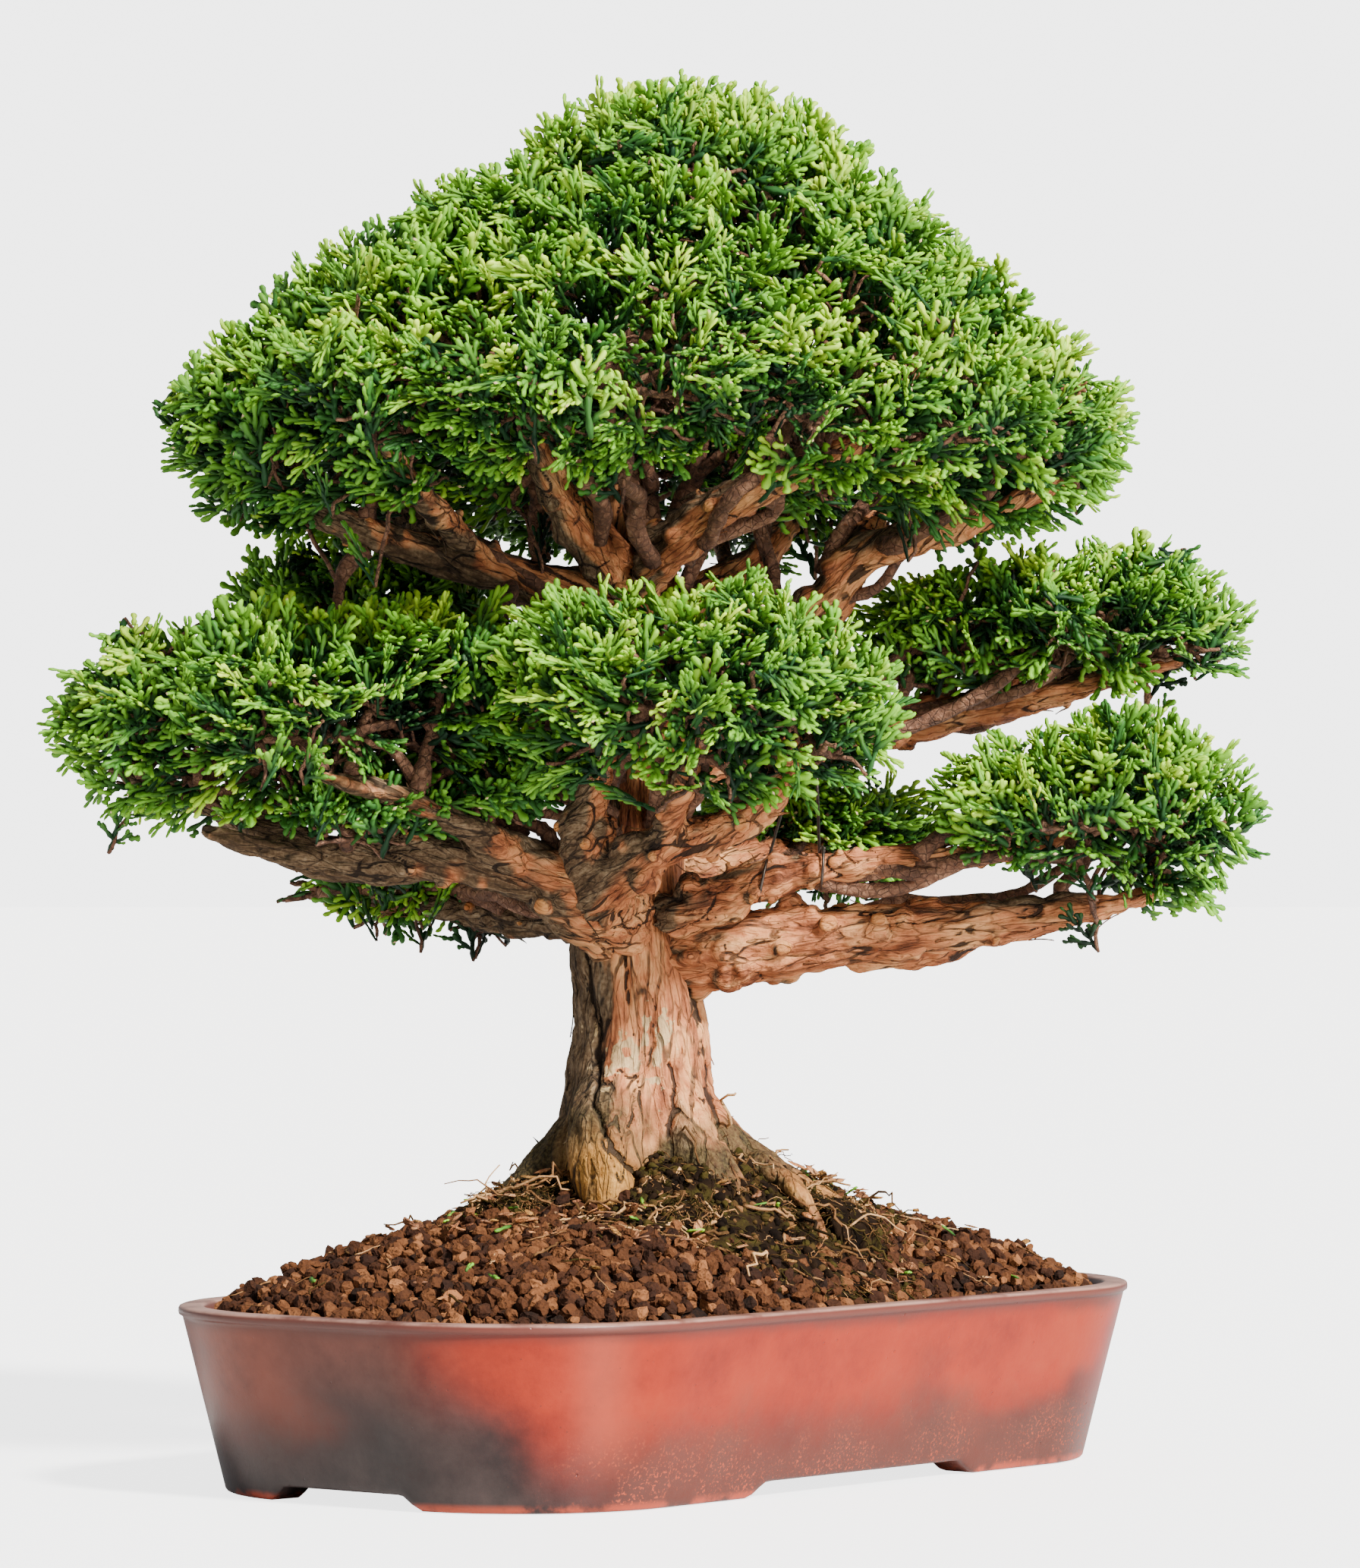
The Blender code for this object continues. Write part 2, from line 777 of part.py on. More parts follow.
def crown_sector(middle):
    """The cushions of one quarter of the crown."""
    cushions = []
    for count, ring_x, ring_y, height, wide, thick in crown_rings:
        for step in range(count):
            angle = (step + 0.5) * 360 / count
            off_middle = (angle - middle + 180) % 360 - 180
            if abs(off_middle) < sector_reach:
                turn = math.radians(angle)
                x, y = ring_x * math.cos(turn), ring_y * math.sin(turn)
                arch = front_arch * max(0.0, -math.sin(turn)) if height < arched_below else 0.0
                cushions.append((x + crown_lean, y, height + arch, wide, crown_flatness * wide, thick - arch))
    turn = math.radians(middle)
    lift = front_arch * max(0.0, -math.sin(turn))
    reach_x, reach_y, height, wide, deep, thick = core_cushion
    x, y = reach_x * math.cos(turn) + core_lean, reach_y * math.sin(turn)
    cushions.append((x, y, height + lift, wide, deep, thick - lift))
    return cushions


# The top of the crown is a peak cushion on a ring of smaller ones.
peak_cushion = (8, 0, 333, 62, 56, 37)
top_ring_count = 6
top_ring_start = 20  # degrees from +X
top_ring = (2, 58, 50, 308, 44, 42, 33)  # middle's x, ring radii along x and y, height, cushion radii


def top_cushion(step):
    turn = math.radians(360 / top_ring_count * step + top_ring_start)
    middle, ring_x, ring_y, *rest = top_ring
    return (middle + ring_x * math.cos(turn), ring_y * math.sin(turn), *rest)


crown_cushions = {
    "crown_top_pad": [peak_cushion, *[top_cushion(step) for step in range(top_ring_count)]],
    **{name: crown_sector(middle) for name, middle in crown_sectors.items()},
}


def cushion_mesh(cushion):
    x, y, z, rx, ry, rz = cushion
    shape = bmesh.new()
    bmesh.ops.create_icosphere(shape, subdivisions=3, radius=1.0)
    for vertex in shape.verts:
        wide = Vector((vertex.co.x * rx, vertex.co.y * ry, vertex.co.z * rz))
        vertex.co = in_tree(x + wide.x, y + wide.y, z + wide.z)
    mesh = bpy.data.meshes.new("cushion")
    shape.to_mesh(mesh)
    shape.free()
    return mesh


def make_pad(name, cushions, budget):
    meshes = [cushion_mesh(cushion) for cushion in cushions]
    pad = fuse(joined(name, meshes, foliage), pad_voxel, pad_smoothing, budget)
    room = room_for(pad)
    make_room(pad, [*wood_rooms.values(), *pad_rooms.values()])
    pad_rooms[name] = room
    return pad


# ---------------------------------------------------------------- soil, moss, guy wires

mound_rings = (0.96, 0.88, 0.76, 0.62, 0.46, 0.28, 0.10)


def soil_ring(share, z):
    """The pot's inside outline at the soil's edge, shrunk towards the middle."""
    inset = pot_wall + wall_inset(soil_edge_height) + gap
    return [Vector((point.x * share, point.y * share, z)) for point in pot_ring(inset, z, 5)]


def mound_height(share):
    return soil_edge_height + soil_mound_rise * (1.0 - share**soil_mound_power)


def make_soil():
    bottom = floor_top + gap
    shoulder = bottom + floor_fillet
    wall_at = pot_wall + gap
    rings = [
        pot_ring(wall_at + wall_inset(bottom) + floor_fillet + gap, bottom, 5),
        pot_ring(wall_at + wall_inset(shoulder) + gap, shoulder, 5),
        soil_ring(1.0, soil_edge_height),
        *[soil_ring(share, mound_height(share)) for share in mound_rings],
    ]
    soil = loft("soil", rings, clay_grains, peak=Vector((0.0, 0.0, soil_crest)))
    soil.parent = pot_axis
    clip_top = floor_top + 3 * gap + screen_thickness + 2 * clip_wire_radius
    for number, x in enumerate(drain_places):
        height = clip_top - floor_top + 2 * gap
        size = (screen_side + 4 * gap, screen_side + 4 * gap, height)
        centre = (x, 0.0, floor_top + height / 2)
        cut(soil, primitive_box(f"screen_room_{number}", size, centre))
    bpy.context.view_layer.update()
    settle(soil)
    soil.parent = None
    soil.data.transform(Matrix.Rotation(pot_turn, 4, "Z"))
    return soil


# Patches of moss and fibre between the roots: drawn centre x, y, height and radii.
moss_patches = {
    "moss_left": (-42, -28, -4, 24, 16, 9),
    "moss_front": (4, -50, -7, 18, 14, 10),
    "moss_right": (46, -18, -10, 26, 20, 13),
    "moss_back": (-28, 52, -12, 20, 15, 10),
}


def guy_wire(name, low, high, limbs):
    """A straight thin wire between two limbs, drawn from axis to axis and cut back to their bark."""
    line = wire(name + "_line", [in_tree(*low), in_tree(*high)], guy_wire_radius, None, cutters)
    made = add_object(name, welded_mesh(line), dark_wire)
    bpy.data.objects.remove(line, do_unlink=True)
    return make_room(made, [wood_rooms[limb] for limb in limbs])


# ---------------------------------------------------------------- assembly

pot = make_pot()
for number, x in enumerate(drain_places):
    side = ("left", "right")[number]
    make_screen(f"drain_screen_{side}", x)
    make_clip(f"screen_clip_{side}", x)

trunk = make_trunk()
wood_rooms = {"trunk": wood_room("trunk", trunk_strands, trunk_room_triangles)}
for name, strands in limb_strands.items():
    make_limb(name, strands)

soil = make_soil()
soil_room = room_for(soil)
make_room(soil, [wood_rooms["trunk"]])
for name, patch in moss_patches.items():
    make_room(add_object(name, cushion_mesh(patch), moss), [soil_room, wood_rooms["trunk"]])

pad_rooms = {}
for name, cushions in tier_cushions.items():
    make_pad(name, cushions, tier_pad_triangles)
for name, cushions in crown_cushions.items():
    make_pad(name, cushions, crown_pad_triangles)

guy_wire("guy_wire_left", (32, -19, 107), (46, 38, 153), ("right_strand", "right_upper_limb"))
guy_wire("guy_wire_right", (51, -20, 111), (51, 41, 154), ("right_strand", "right_upper_limb"))

for piece in parts.objects:
    if piece.type == "MESH":
        piece.data.shade_smooth()
        piece.data.set_sharp_from_angle(angle=sharp_angle)
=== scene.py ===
"""A cypress bonsai in a low fired-clay pot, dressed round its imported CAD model."""

import math

import bmesh
import bpy
import numpy as np
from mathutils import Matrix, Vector
from mathutils.bvhtree import BVHTree


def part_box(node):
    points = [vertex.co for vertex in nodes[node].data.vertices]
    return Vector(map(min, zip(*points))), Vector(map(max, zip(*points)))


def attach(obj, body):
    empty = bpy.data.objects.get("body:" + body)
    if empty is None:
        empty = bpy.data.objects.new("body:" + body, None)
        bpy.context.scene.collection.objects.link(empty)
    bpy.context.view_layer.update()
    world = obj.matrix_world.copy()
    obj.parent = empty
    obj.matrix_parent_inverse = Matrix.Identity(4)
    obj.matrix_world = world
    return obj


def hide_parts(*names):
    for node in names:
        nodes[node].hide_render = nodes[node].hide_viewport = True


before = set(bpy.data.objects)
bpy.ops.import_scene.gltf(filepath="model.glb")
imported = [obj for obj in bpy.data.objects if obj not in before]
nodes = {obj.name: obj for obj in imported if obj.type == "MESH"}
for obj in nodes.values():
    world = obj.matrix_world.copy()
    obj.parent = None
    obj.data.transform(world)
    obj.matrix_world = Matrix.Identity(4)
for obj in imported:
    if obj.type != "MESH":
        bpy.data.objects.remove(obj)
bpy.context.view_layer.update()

MM = 0.001

# ---------------------------------------------------------------- the pot
# One low pot of unglazed red-brown clay, pressed in a mould: a rounded rectangle with leaning walls, a thin
# rolled lip and four corner feet between cut-outs. Smoke and ash in the kiln left dark flashes on the red.

pot_length, pot_width, pot_height = 0.352, 0.196, 0.060
pot_corner, pot_lean, pot_wall, pot_turn = 0.073, 0.015, 0.008, math.radians(51.0)
foot_height, foot_width, floor_top = 0.005, 0.013, 0.011
long_cut, short_cut, cut_slant = 0.061, 0.034, 0.011  # half lengths of the openings between the feet
lip_height, lip_reach = 0.003, 0.0012
drain_radius, drain_offset = 0.009, 0.085
long_side_points, short_side_points, corner_points = 64, 22, 26
soil_gap = 0.5 * MM  # between the wall and the soil
round_foot = round_lip = 0.9 * MM


class Shade:
    """A value, colour or vector inside a finish; sums and products of values add Math nodes."""

    def __init__(self, finish, socket):
        self.finish, self.socket = finish, socket

    def math(self, operation, *values):
        """The Math node behind an operator."""
        return self.finish.node("Math", {"operation": operation}, dict(enumerate(values)))

    def __add__(self, other):
        return self.math("ADD", self, other)

    def __sub__(self, other):
        return self.math("SUBTRACT", self, other)

    def __rsub__(self, other):
        return self.math("SUBTRACT", other, self)

    def __mul__(self, other):
        return self.math("MULTIPLY", self, other)

    def __abs__(self):
        return self.math("ABSOLUTE", self)

    __radd__, __rmul__ = __add__, __mul__

    def step(self, low, high):
        """Rises smoothly from 0 at low to 1 at high."""
        inputs = {"Value": self, "From Min": low, "From Max": high}
        return self.finish.node("MapRange", {"interpolation_type": "SMOOTHSTEP"}, inputs)

    def ramp(self, *stops):
        """Colours along the value: each stop is a place and a colour."""
        return self.finish.node("ValToRGB", {"stops": stops}, {"Fac": self})

    def part(self, name):
        """One channel of a colour or vector."""
        return self.finish.node("SeparateXYZ", {}, {0: self}, "XYZ".index(name))


class Finish:
    """A procedural material; node() adds any node: its type, its settings, then its sockets."""

    def __init__(self, name, **fixed):
        self.material = bpy.data.materials.new(name)
        self.material.use_nodes = True
        self.tree = self.material.node_tree
        self.shader = self.tree.nodes["Principled BSDF"]
        self.put(self.shader, {key.replace("_", " "): value for key, value in fixed.items()})

    def put(self, node, inputs):
        for key, value in inputs.items():
            if isinstance(value, Shade):
                self.tree.links.new(value.socket, node.inputs[key])
            else:
                node.inputs[key].default_value = value

    def node(self, kind, settings, inputs, output=0):
        made = self.tree.nodes.new("ShaderNode" + kind)
        for key, value in settings.items():
            if key == "stops":
                elements = made.color_ramp.elements
                while len(elements) < len(value):
                    elements.new(0.5)
                for element, (place, colour) in zip(elements, value):
                    element.position, element.color = place, (*colour, 1.0)
            else:
                setattr(made, key, value)
        self.put(made, inputs)
        return Shade(self, made.outputs[output])

    def place(self):
        return self.node("TexCoord", {}, {}, "Object")

    def carried(self, name, output="Fac"):
        """A value or vector that the mesh holds at each of its points."""
        return self.node("Attribute", {"attribute_name": name}, {}, output)

    def noise(self, scale, detail, roughness=0.5, at=None):
        inputs = {"Scale": scale, "Detail": detail, "Roughness": roughness, "Vector": at or self.place()}
        return self.node("TexNoise", {}, inputs)

    def cells(self, scale, at=None, **settings):
        return self.node("TexVoronoi", settings, {"Scale": scale, "Vector": at or self.place()})

    def stretched(self, x, y, z):
        return self.node("VectorMath", {"operation": "MULTIPLY"}, {0: self.place(), 1: (x, y, z)})

    def blend(self, first, second, share):
        """Colour first with share of colour second laid over it."""
        pair = [value if isinstance(value, Shade) else (*value, 1.0) for value in (first, second)]
        return self.node("Mix", {"data_type": "RGBA"}, {0: share, 6: pair[0], 7: pair[1]}, 2)

    def bump(self, height, distance, strength=1.0):
        return self.node("Bump", {}, {"Height": height, "Distance": distance, "Strength": strength})

    def finished(self, **links):
        self.put(self.shader, {key.replace("_", " "): value for key, value in links.items()})
        return self.material


def ripple(points, size, seed):
    """Smooth random values from -1 to 1 that vary over about size metres."""
    cell = points / size
    low = np.floor(cell).astype(np.int64)
    part = cell - low
    part = part * part * (3 - 2 * part)
    total = np.zeros(len(points))
    for corner in range(8):
        step = np.array([corner & 1, corner >> 1 & 1, corner >> 2])
        at = low + step
        mixed = at[:, 0] * 73856093 ^ at[:, 1] * 19349663 ^ at[:, 2] * 83492791 ^ seed * 2654435761
        mixed = (mixed ^ mixed >> 13) * 1274126177 & 0xFFFFFFFF
        mixed ^= mixed >> 16
        total += np.prod(np.where(step, part, 1 - part), axis=1) * ((mixed & 0xFFFF) / 32767.5 - 1)
    return total


def unit(vectors):
    """The same directions, each of length 1."""
    return vectors / np.maximum(np.linalg.norm(vectors, axis=-1, keepdims=True), 1e-12)


def solid(name, points, loops, totals, finish, palette=None, shades=None, sharp=None):
    """A mesh object from arrays: its points, and each face's corners one after another."""
    mesh = bpy.data.meshes.new(name)
    mesh.vertices.add(len(points))
    mesh.vertices.foreach_set("co", np.asarray(points, np.float32).ravel())
    mesh.loops.add(len(loops))
    mesh.loops.foreach_set("vertex_index", np.asarray(loops, np.int32))
    mesh.polygons.add(len(totals))
    totals = np.asarray(totals, np.int32)
    mesh.polygons.foreach_set("loop_start", np.cumsum(totals, dtype=np.int32) - totals)
    mesh.polygons.foreach_set("use_smooth", np.ones(len(totals), bool))
    mesh.update(calc_edges=True)
    mesh.validate()
    if palette is not None:
        layer = mesh.uv_layers.new(name="OFBake")
        layer.data.foreach_set("uv", np.asarray(palette, np.float32).ravel())
    for key, values in (shades or {}).items():
        values = np.asarray(values, np.float32)
        kind, field = ("FLOAT", "value") if values.ndim == 1 else ("FLOAT_VECTOR", "vector")
        mesh.attributes.new(key, kind, "POINT").data.foreach_set(field, values.ravel())
    if sharp is not None:
        mesh.set_sharp_from_angle(angle=math.radians(sharp))
    mesh.materials.append(finish)
    made = bpy.data.objects.new(name, mesh)
    bpy.context.scene.collection.objects.link(made)
    return made


def piece(made, slot, *replaced):
    """Makes the object part of the model: on the root body, hiding the nodes it stands for; slot is not used.
    """
    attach(made, "root")
    if replaced:
        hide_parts(*replaced)
    return made


def pot_outline(inset):
    """Points round the pot's outline, moved in by inset, before the pot is turned."""
    half_x, half_y = pot_length / 2 - inset, pot_width / 2 - inset
    radius = max(pot_corner - inset, 0.002)
    flat_x, flat_y = half_x - radius, half_y - radius

    def on_corner(sign_x, sign_y, degrees):
        angle = math.radians(degrees)
        return sign_x * flat_x + radius * math.cos(angle), sign_y * flat_y + radius * math.sin(angle)

    points = []
    for sign_x, sign_y, start, along in (
        (1, 1, 0, long_side_points),
        (-1, 1, 90, short_side_points),
        (-1, -1, 180, long_side_points),
        (1, -1, 270, short_side_points),
    ):
        angles = [start + 90 * step / corner_points for step in range(corner_points)]
        points += [on_corner(sign_x, sign_y, angle) for angle in angles]
        x, y = on_corner(sign_x, sign_y, start + 90)
        end = (-x, y) if along == long_side_points else (x, -y)
        for step in range(along):
            share = step / along
            points.append((x + (end[0] - x) * share, y + (end[1] - y) * share))
    return np.array(points)


def turned(points):
    """Points of the pot, turned to the way that the pot stands."""
    c, s = math.cos(pot_turn), math.sin(pot_turn)
    x, y, z = np.asarray(points, float).T
    return np.stack([c * x - s * y, s * x + c * y, z], 1)


def wall_inset(z):
    """How far the leaning wall stands in from the rim's outline at a height."""
    return pot_lean * (1.0 - z / pot_height)


def closed_faces(levels, count):
    """The corners and the sizes of the faces that close a body of rings with count points each."""
    index = np.arange(count)
    after = np.roll(index, -1)
    low = np.arange(levels - 1)[:, None] * count
    quads = np.stack([low + index, low + after, low + count + after, low + count + index], 2)
    loops = np.concatenate([quads.ravel(), index[::-1], (levels - 1) * count + index])
    return loops, np.append(np.full((levels - 1) * count, 4), [count, count])


def stacked(rings):
    """A closed body through rings of equal count."""
    return (np.concatenate(rings), *closed_faces(len(rings), len(rings[0])))


def pot_rings():
    """The pot's profile from the middle of its underside, round the wall, to the middle of its floor."""
    inside_foot = pot_lean + foot_width
    rim = pot_outline(0.0)
    long_open = np.clip((long_cut - np.abs(rim[:, 0])) / cut_slant, 0, 1)
    short_open = np.clip((short_cut - np.abs(rim[:, 1])) / cut_slant, 0, 1)
    opening = np.maximum(long_open, short_open)
    opening = 0.96 * opening * opening * (3 - 2 * opening)
    lifted = foot_height * opening
    lip = wall_inset(pot_height - lip_height) - lip_reach
    base = pot_height - lip_height
    # the underside and the feet: inset, height and whether the openings between the feet lift it
    profile = [(inside_foot + 0.012, foot_height, 0), (inside_foot + 0.001, foot_height, 0)]
    profile += [(inside_foot, foot_height - 0.0001, 0), (inside_foot, round_foot, 1)]
    profile += [(inside_foot - 0.3 * round_foot, 0.3 * round_foot, 1), (inside_foot - round_foot, 0.0, 1)]
    profile += [(pot_lean + round_foot, 0.0, 1), (pot_lean + 0.3 * round_foot, 0.3 * round_foot, 1)]
    profile += [(wall_inset(round_foot), round_foot, 1), (wall_inset(0.003), 0.003, 1)]
    rings = []
    for inset, z, foot in profile:
        height = z + lifted * foot
        if foot:
            height = np.minimum(height, foot_height - 0.0002 + z)
        outline = pot_outline(inset)
        if foot and inset <= pot_lean + 0.001:
            lean = wall_inset(height) - wall_inset(z)
            outline = outline * (1 - 2 * lean[:, None] / np.array([pot_length, pot_width]))
        rings.append(np.column_stack([outline, np.broadcast_to(height, len(outline))]))
    # the outer wall up to the rolled lip, over its top and down the inner wall to the floor
    upper = [(wall_inset(z), z) for z in np.linspace(0.010, base - 0.0016, 15)]
    upper += [(wall_inset(base - 0.0006), base - 0.0006), (0.4 * wall_inset(base), base - 0.0001)]
    upper += [(lip + 0.1 * MM, base + 0.3 * MM), (lip - 0.05 * MM, base + 1.1 * MM)]
    upper += [(lip, pot_height - round_lip), (lip + 0.35 * MM, pot_height - 0.3 * MM)]
    upper += [(lip + 1.1 * MM, pot_height), (pot_wall - 1.3 * MM, pot_height)]
    upper += [(pot_wall - 0.4 * MM, pot_height - 0.35 * MM), (pot_wall, pot_height - 1.2 * MM)]
    upper += [(pot_wall + wall_inset(z), z) for z in (0.05, 0.035, 0.019, 0.017)]
    for z, inward in ((0.0135, 1.2 * MM), (0.0118, 3.2 * MM)):
        upper.append((pot_wall + wall_inset(z) + inward, z))
    upper += [(pot_wall + wall_inset(floor_top) + 6 * MM, floor_top), (pot_wall + 0.03, floor_top)]
    for inset, z in upper:
        outline = pot_outline(inset)
        rings.append(np.column_stack([outline, np.full(len(outline), z)]))
    return rings


def fired_clay():
    """Red unglazed clay, half polished, with a dark kiln flash near the front corner and along the edges."""
    clay = Finish("fired_clay", IOR=1.40, Specular_IOR_Level=0.4)
    place = clay.place()
    x, y, height = place.part("X") * 1000.0, place.part("Y") * 1000.0, place.part("Z") * 1000.0
    broad = clay.noise(16.0, 4.0, 0.55)
    cloud = clay.noise(48.0, 5.0, 0.62)
    smoke = clay.noise(11.0, 3.0, 0.5, clay.stretched(1.0, 1.0, 1.8))
    grit = clay.noise(420.0, 4.0, 0.7)
    red = (broad * 0.55 + cloud * 0.35 + grit * 0.12).ramp(
        (0.30, (0.105, 0.008, 0.003)),
        (0.44, (0.200, 0.013, 0.004)),
        (0.56, (0.285, 0.022, 0.006)),
        (0.76, (0.350, 0.048, 0.016)),
    )
    # The short left face, away from the key light, goes browner: partly the clay's own colour, partly painted
    # shade.
    brown = cloud.ramp((0.3, (0.105, 0.030, 0.018)), (0.7, (0.215, 0.064, 0.038)))
    left_face = (x * -1.0 + cloud * 22.0 - 11.0).step(62.0, 92.0) * (1.0 - y.step(10.0, 60.0))
    colour = clay.blend(red, brown, left_face * 0.85)
    front = 1.0 - y.step(-60.0, -20.0)
    front_right = (x - y - 40.0).step(0.0, 60.0)
    from_flash = x + 64.0 + height * 0.55 + (smoke - 0.5) * 44.0 + (cloud - 0.5) * 20.0
    plume = (1.0 - abs(from_flash).step(10.0, 40.0)) * front * (1.0 - height.step(20.0, 62.0) * 0.8)
    low_left = (left_face * 14.0 - height * 0.55 + smoke * 12.0 + cloud * 8.0).step(6.0, 16.0)
    elsewhere = (1.0 - front) * smoke.step(0.52, 0.66) * 0.8
    base_band = (smoke * 30.0 + cloud * 26.0 - 7.0 - height).step(-13.0, 16.0) * 0.85
    grey = cloud.ramp((0.3, (0.014, 0.010, 0.010)), (0.72, (0.050, 0.034, 0.031)))
    for mask in (elsewhere, low_left * 0.8, plume * 0.96, base_band):
        colour = clay.blend(colour, grey, mask)
    # A soft pale band down the front of the near corner: a painted highlight.
    painted_corner_highlight = (1.0 - abs(x + 19.0).step(0.0, 15.0)) * front * height.step(4.0, 30.0)
    colour = clay.blend(colour, (0.43, 0.100, 0.052), painted_corner_highlight * 0.28)
    low_right = (cloud * 26.0 + broad * 16.0 - height).step(-12.0, 10.0) * x.step(-30.0, 5.0) * front_right
    colour = clay.blend(colour, (0.120, 0.030, 0.018), low_right * 0.55)
    rim_band = (height * 0.13 - 7.45 + broad * 1.2 + cloud * 0.9).step(0.35, 1.1) * 0.7
    colour = clay.blend(colour, (0.055, 0.022, 0.019), rim_band)
    lip = height.step(56.6, 57.4)
    colour = clay.blend(colour, (0.120, 0.042, 0.032), lip * 0.6)
    # A thin pale line along the top edge of the lip, broken up by the clouds: a painted highlight.
    colour = clay.blend(colour, (0.400, 0.230, 0.180), height.step(58.9, 59.7) * cloud.step(0.30, 0.60) * 0.8)
    embers = clay.noise(1000.0, 2.0, 0.6).step(0.54, 0.68) * (1.0 - height.step(8.0, 30.0))
    embers = embers * cloud.step(0.40, 0.55)
    colour = clay.blend(colour, (0.44, 0.070, 0.026), embers * x.step(-45.0, -15.0) * 0.75)
    foot_edge = (1.0 - height.step(0.8, 3.4)) * cloud.step(0.38, 0.52)
    colour = clay.blend(colour, (0.42, 0.060, 0.024), foot_edge * 0.8)
    specks = clay.cells(330.0).step(0.12, 0.03) * clay.noise(160.0, 1.0).step(0.52, 0.62)
    colour = clay.blend(colour, (0.050, 0.020, 0.016), specks * 0.7)
    pits = clay.cells(210.0).step(0.13, 0.0) * clay.noise(90.0, 1.0).step(0.55, 0.6)
    drag = clay.noise(120.0, 3.0, 0.6, clay.stretched(0.35, 0.35, 1.6))
    relief = drag * 0.35 + grit * 0.35 - pits * 1.6
    roughness = broad * 0.22 + cloud * 0.14 + 0.17 + embers * 0.2
    return clay.finished(Base_Color=colour, Roughness=roughness, Normal=clay.bump(relief, 0.00022, 0.9))


def make_pot():
    """The pot's body, slightly wavy as fired clay is, with its two drain holes drilled."""
    points, loops, totals = stacked(pot_rings())
    points = turned(points)
    outward = unit(points * (1.0, 1.0, 0.0))
    waver = 0.22 * ripple(points, 0.045, 3) + 0.07 * ripple(points, 0.012, 4)
    inner = points[:, 2] > 0.0005
    points = points + outward * (waver * MM * inner)[:, None]
    pot = solid("pot_body", points, loops, totals, clay_finish)
    for side in (-1, 1):
        spot = tuple(turned([(side * drain_offset, 0.0, 0.0)])[0])
        bpy.ops.mesh.primitive_cylinder_add(vertices=48, radius=drain_radius, depth=0.04, location=spot)
        drill = bpy.context.object
        hole = pot.modifiers.new("drain", "BOOLEAN")
        hole.operation, hole.solver, hole.object = "DIFFERENCE", "EXACT", drill
        bpy.context.view_layer.objects.active = pot
        bpy.ops.object.modifier_apply(modifier=hole.name)
        bpy.data.objects.remove(drill, do_unlink=True)
    pot.data.shade_smooth()
    pot.data.set_sharp_from_angle(angle=math.radians(48))
    return pot


clay_finish = fired_clay()
pot = piece(make_pot(), "fired_clay", "pot")

# ---------------------------------------------------------------- drain screens and their clips
# A square of black plastic mesh lies over each drain hole, held by a bent aluminium wire whose two legs go
# through the hole and turn outward under the pot.

mesh_plastic = Finish("mesh_plastic", IOR=1.45)
weave = mesh_plastic.noise(900.0, 2.0)
mesh_plastic.finished(
    Base_Color=weave.ramp((0.3, (0.010, 0.010, 0.010)), (0.8, (0.030, 0.029, 0.027))),
    Roughness=weave * 0.3 + 0.35,
    Normal=mesh_plastic.bump(weave, 0.00005),
)
dark_wire = Finish("dark_wire", Metallic=1.0)
scratches = dark_wire.noise(1500.0, 3.0, 0.6, dark_wire.stretched(1.0, 1.0, 0.2))
dark_wire.finished(
    Base_Color=scratches.ramp((0.35, (0.055, 0.042, 0.036)), (0.75, (0.16, 0.13, 0.11))),
    Roughness=scratches * 0.3 + 0.3,
    Normal=dark_wire.bump(scratches, 0.00003),
)
for side in ("left", "right"):
    for node, finish in (("drain_screen_", mesh_plastic), ("screen_clip_", dark_wire)):
        mesh = nodes[node + side].data
        mesh.materials.clear()
        mesh.materials.append(finish.material)

# ---------------------------------------------------------------- the soil
# Fired red clay grains a few millimetres wide, heaped in a low mound and watered into place. The mound is
# one body, and the grains that show are closed bodies of their own that lie on it.

grain_spacing, grain_radius = 4.7 * MM, 3.05 * MM
foot_x = -7.0 * MM  # where the middle of the trunk's foot stands


def tree_of(*names):
    """A search tree over the surfaces of several CAD nodes."""
    points, faces = [], []
    for name in names:
        start = len(points)
        points += [vertex.co.copy() for vertex in nodes[name].data.vertices]
        faces += [tuple(start + i for i in face.vertices) for face in nodes[name].data.polygons]
    return BVHTree.FromPolygons(points, faces)


limb_names = [name for name in nodes if name.endswith("_limb") or name == "right_strand"]
trunk_tree = tree_of("trunk")
soil_edge, soil_rise, mound_power = 0.057, 0.033, 2.2
soil_inset = pot_wall + wall_inset(soil_edge) + soil_gap


def mound_share(x, y):
    """How far a point of the unturned pot is from its middle, as a share of the way to the soil's edge."""
    half_x, half_y = pot_length / 2 - soil_inset, pot_width / 2 - soil_inset
    radius = pot_corner - soil_inset
    low, high = np.zeros(np.shape(x)), np.full(np.shape(x), 2.0)
    for _ in range(18):
        middle = (low + high) / 2
        reach_x = np.maximum(np.abs(x) - middle * (half_x - radius), 0)
        reach_y = np.maximum(np.abs(y) - middle * (half_y - radius), 0)
        outside = reach_x**2 + reach_y**2 > (middle * radius) ** 2
        low, high = np.where(outside, middle, low), np.where(outside, high, middle)
    return (low + high) / 2


def mound_height(share):
    """The soil's height at a share of the way out from the middle."""
    return soil_edge + soil_rise * (1.0 - np.minimum(share, 1.0) ** mound_power)


def ground(x, y):
    """The mound's height at places in the model."""
    c, s = math.cos(-pot_turn), math.sin(-pot_turn)
    return mound_height(mound_share(c * x - s * y, s * x + c * y))


def collar_reach(bearing):
    """How far the dark collar of peat and moss reaches from the trunk: most on the right, along its roots."""
    right, left = np.cos(bearing), np.cos(bearing - math.radians(195))
    return 0.067 + 0.026 * np.maximum(right, 0) ** 2 + 0.006 * np.maximum(left, 0) ** 3


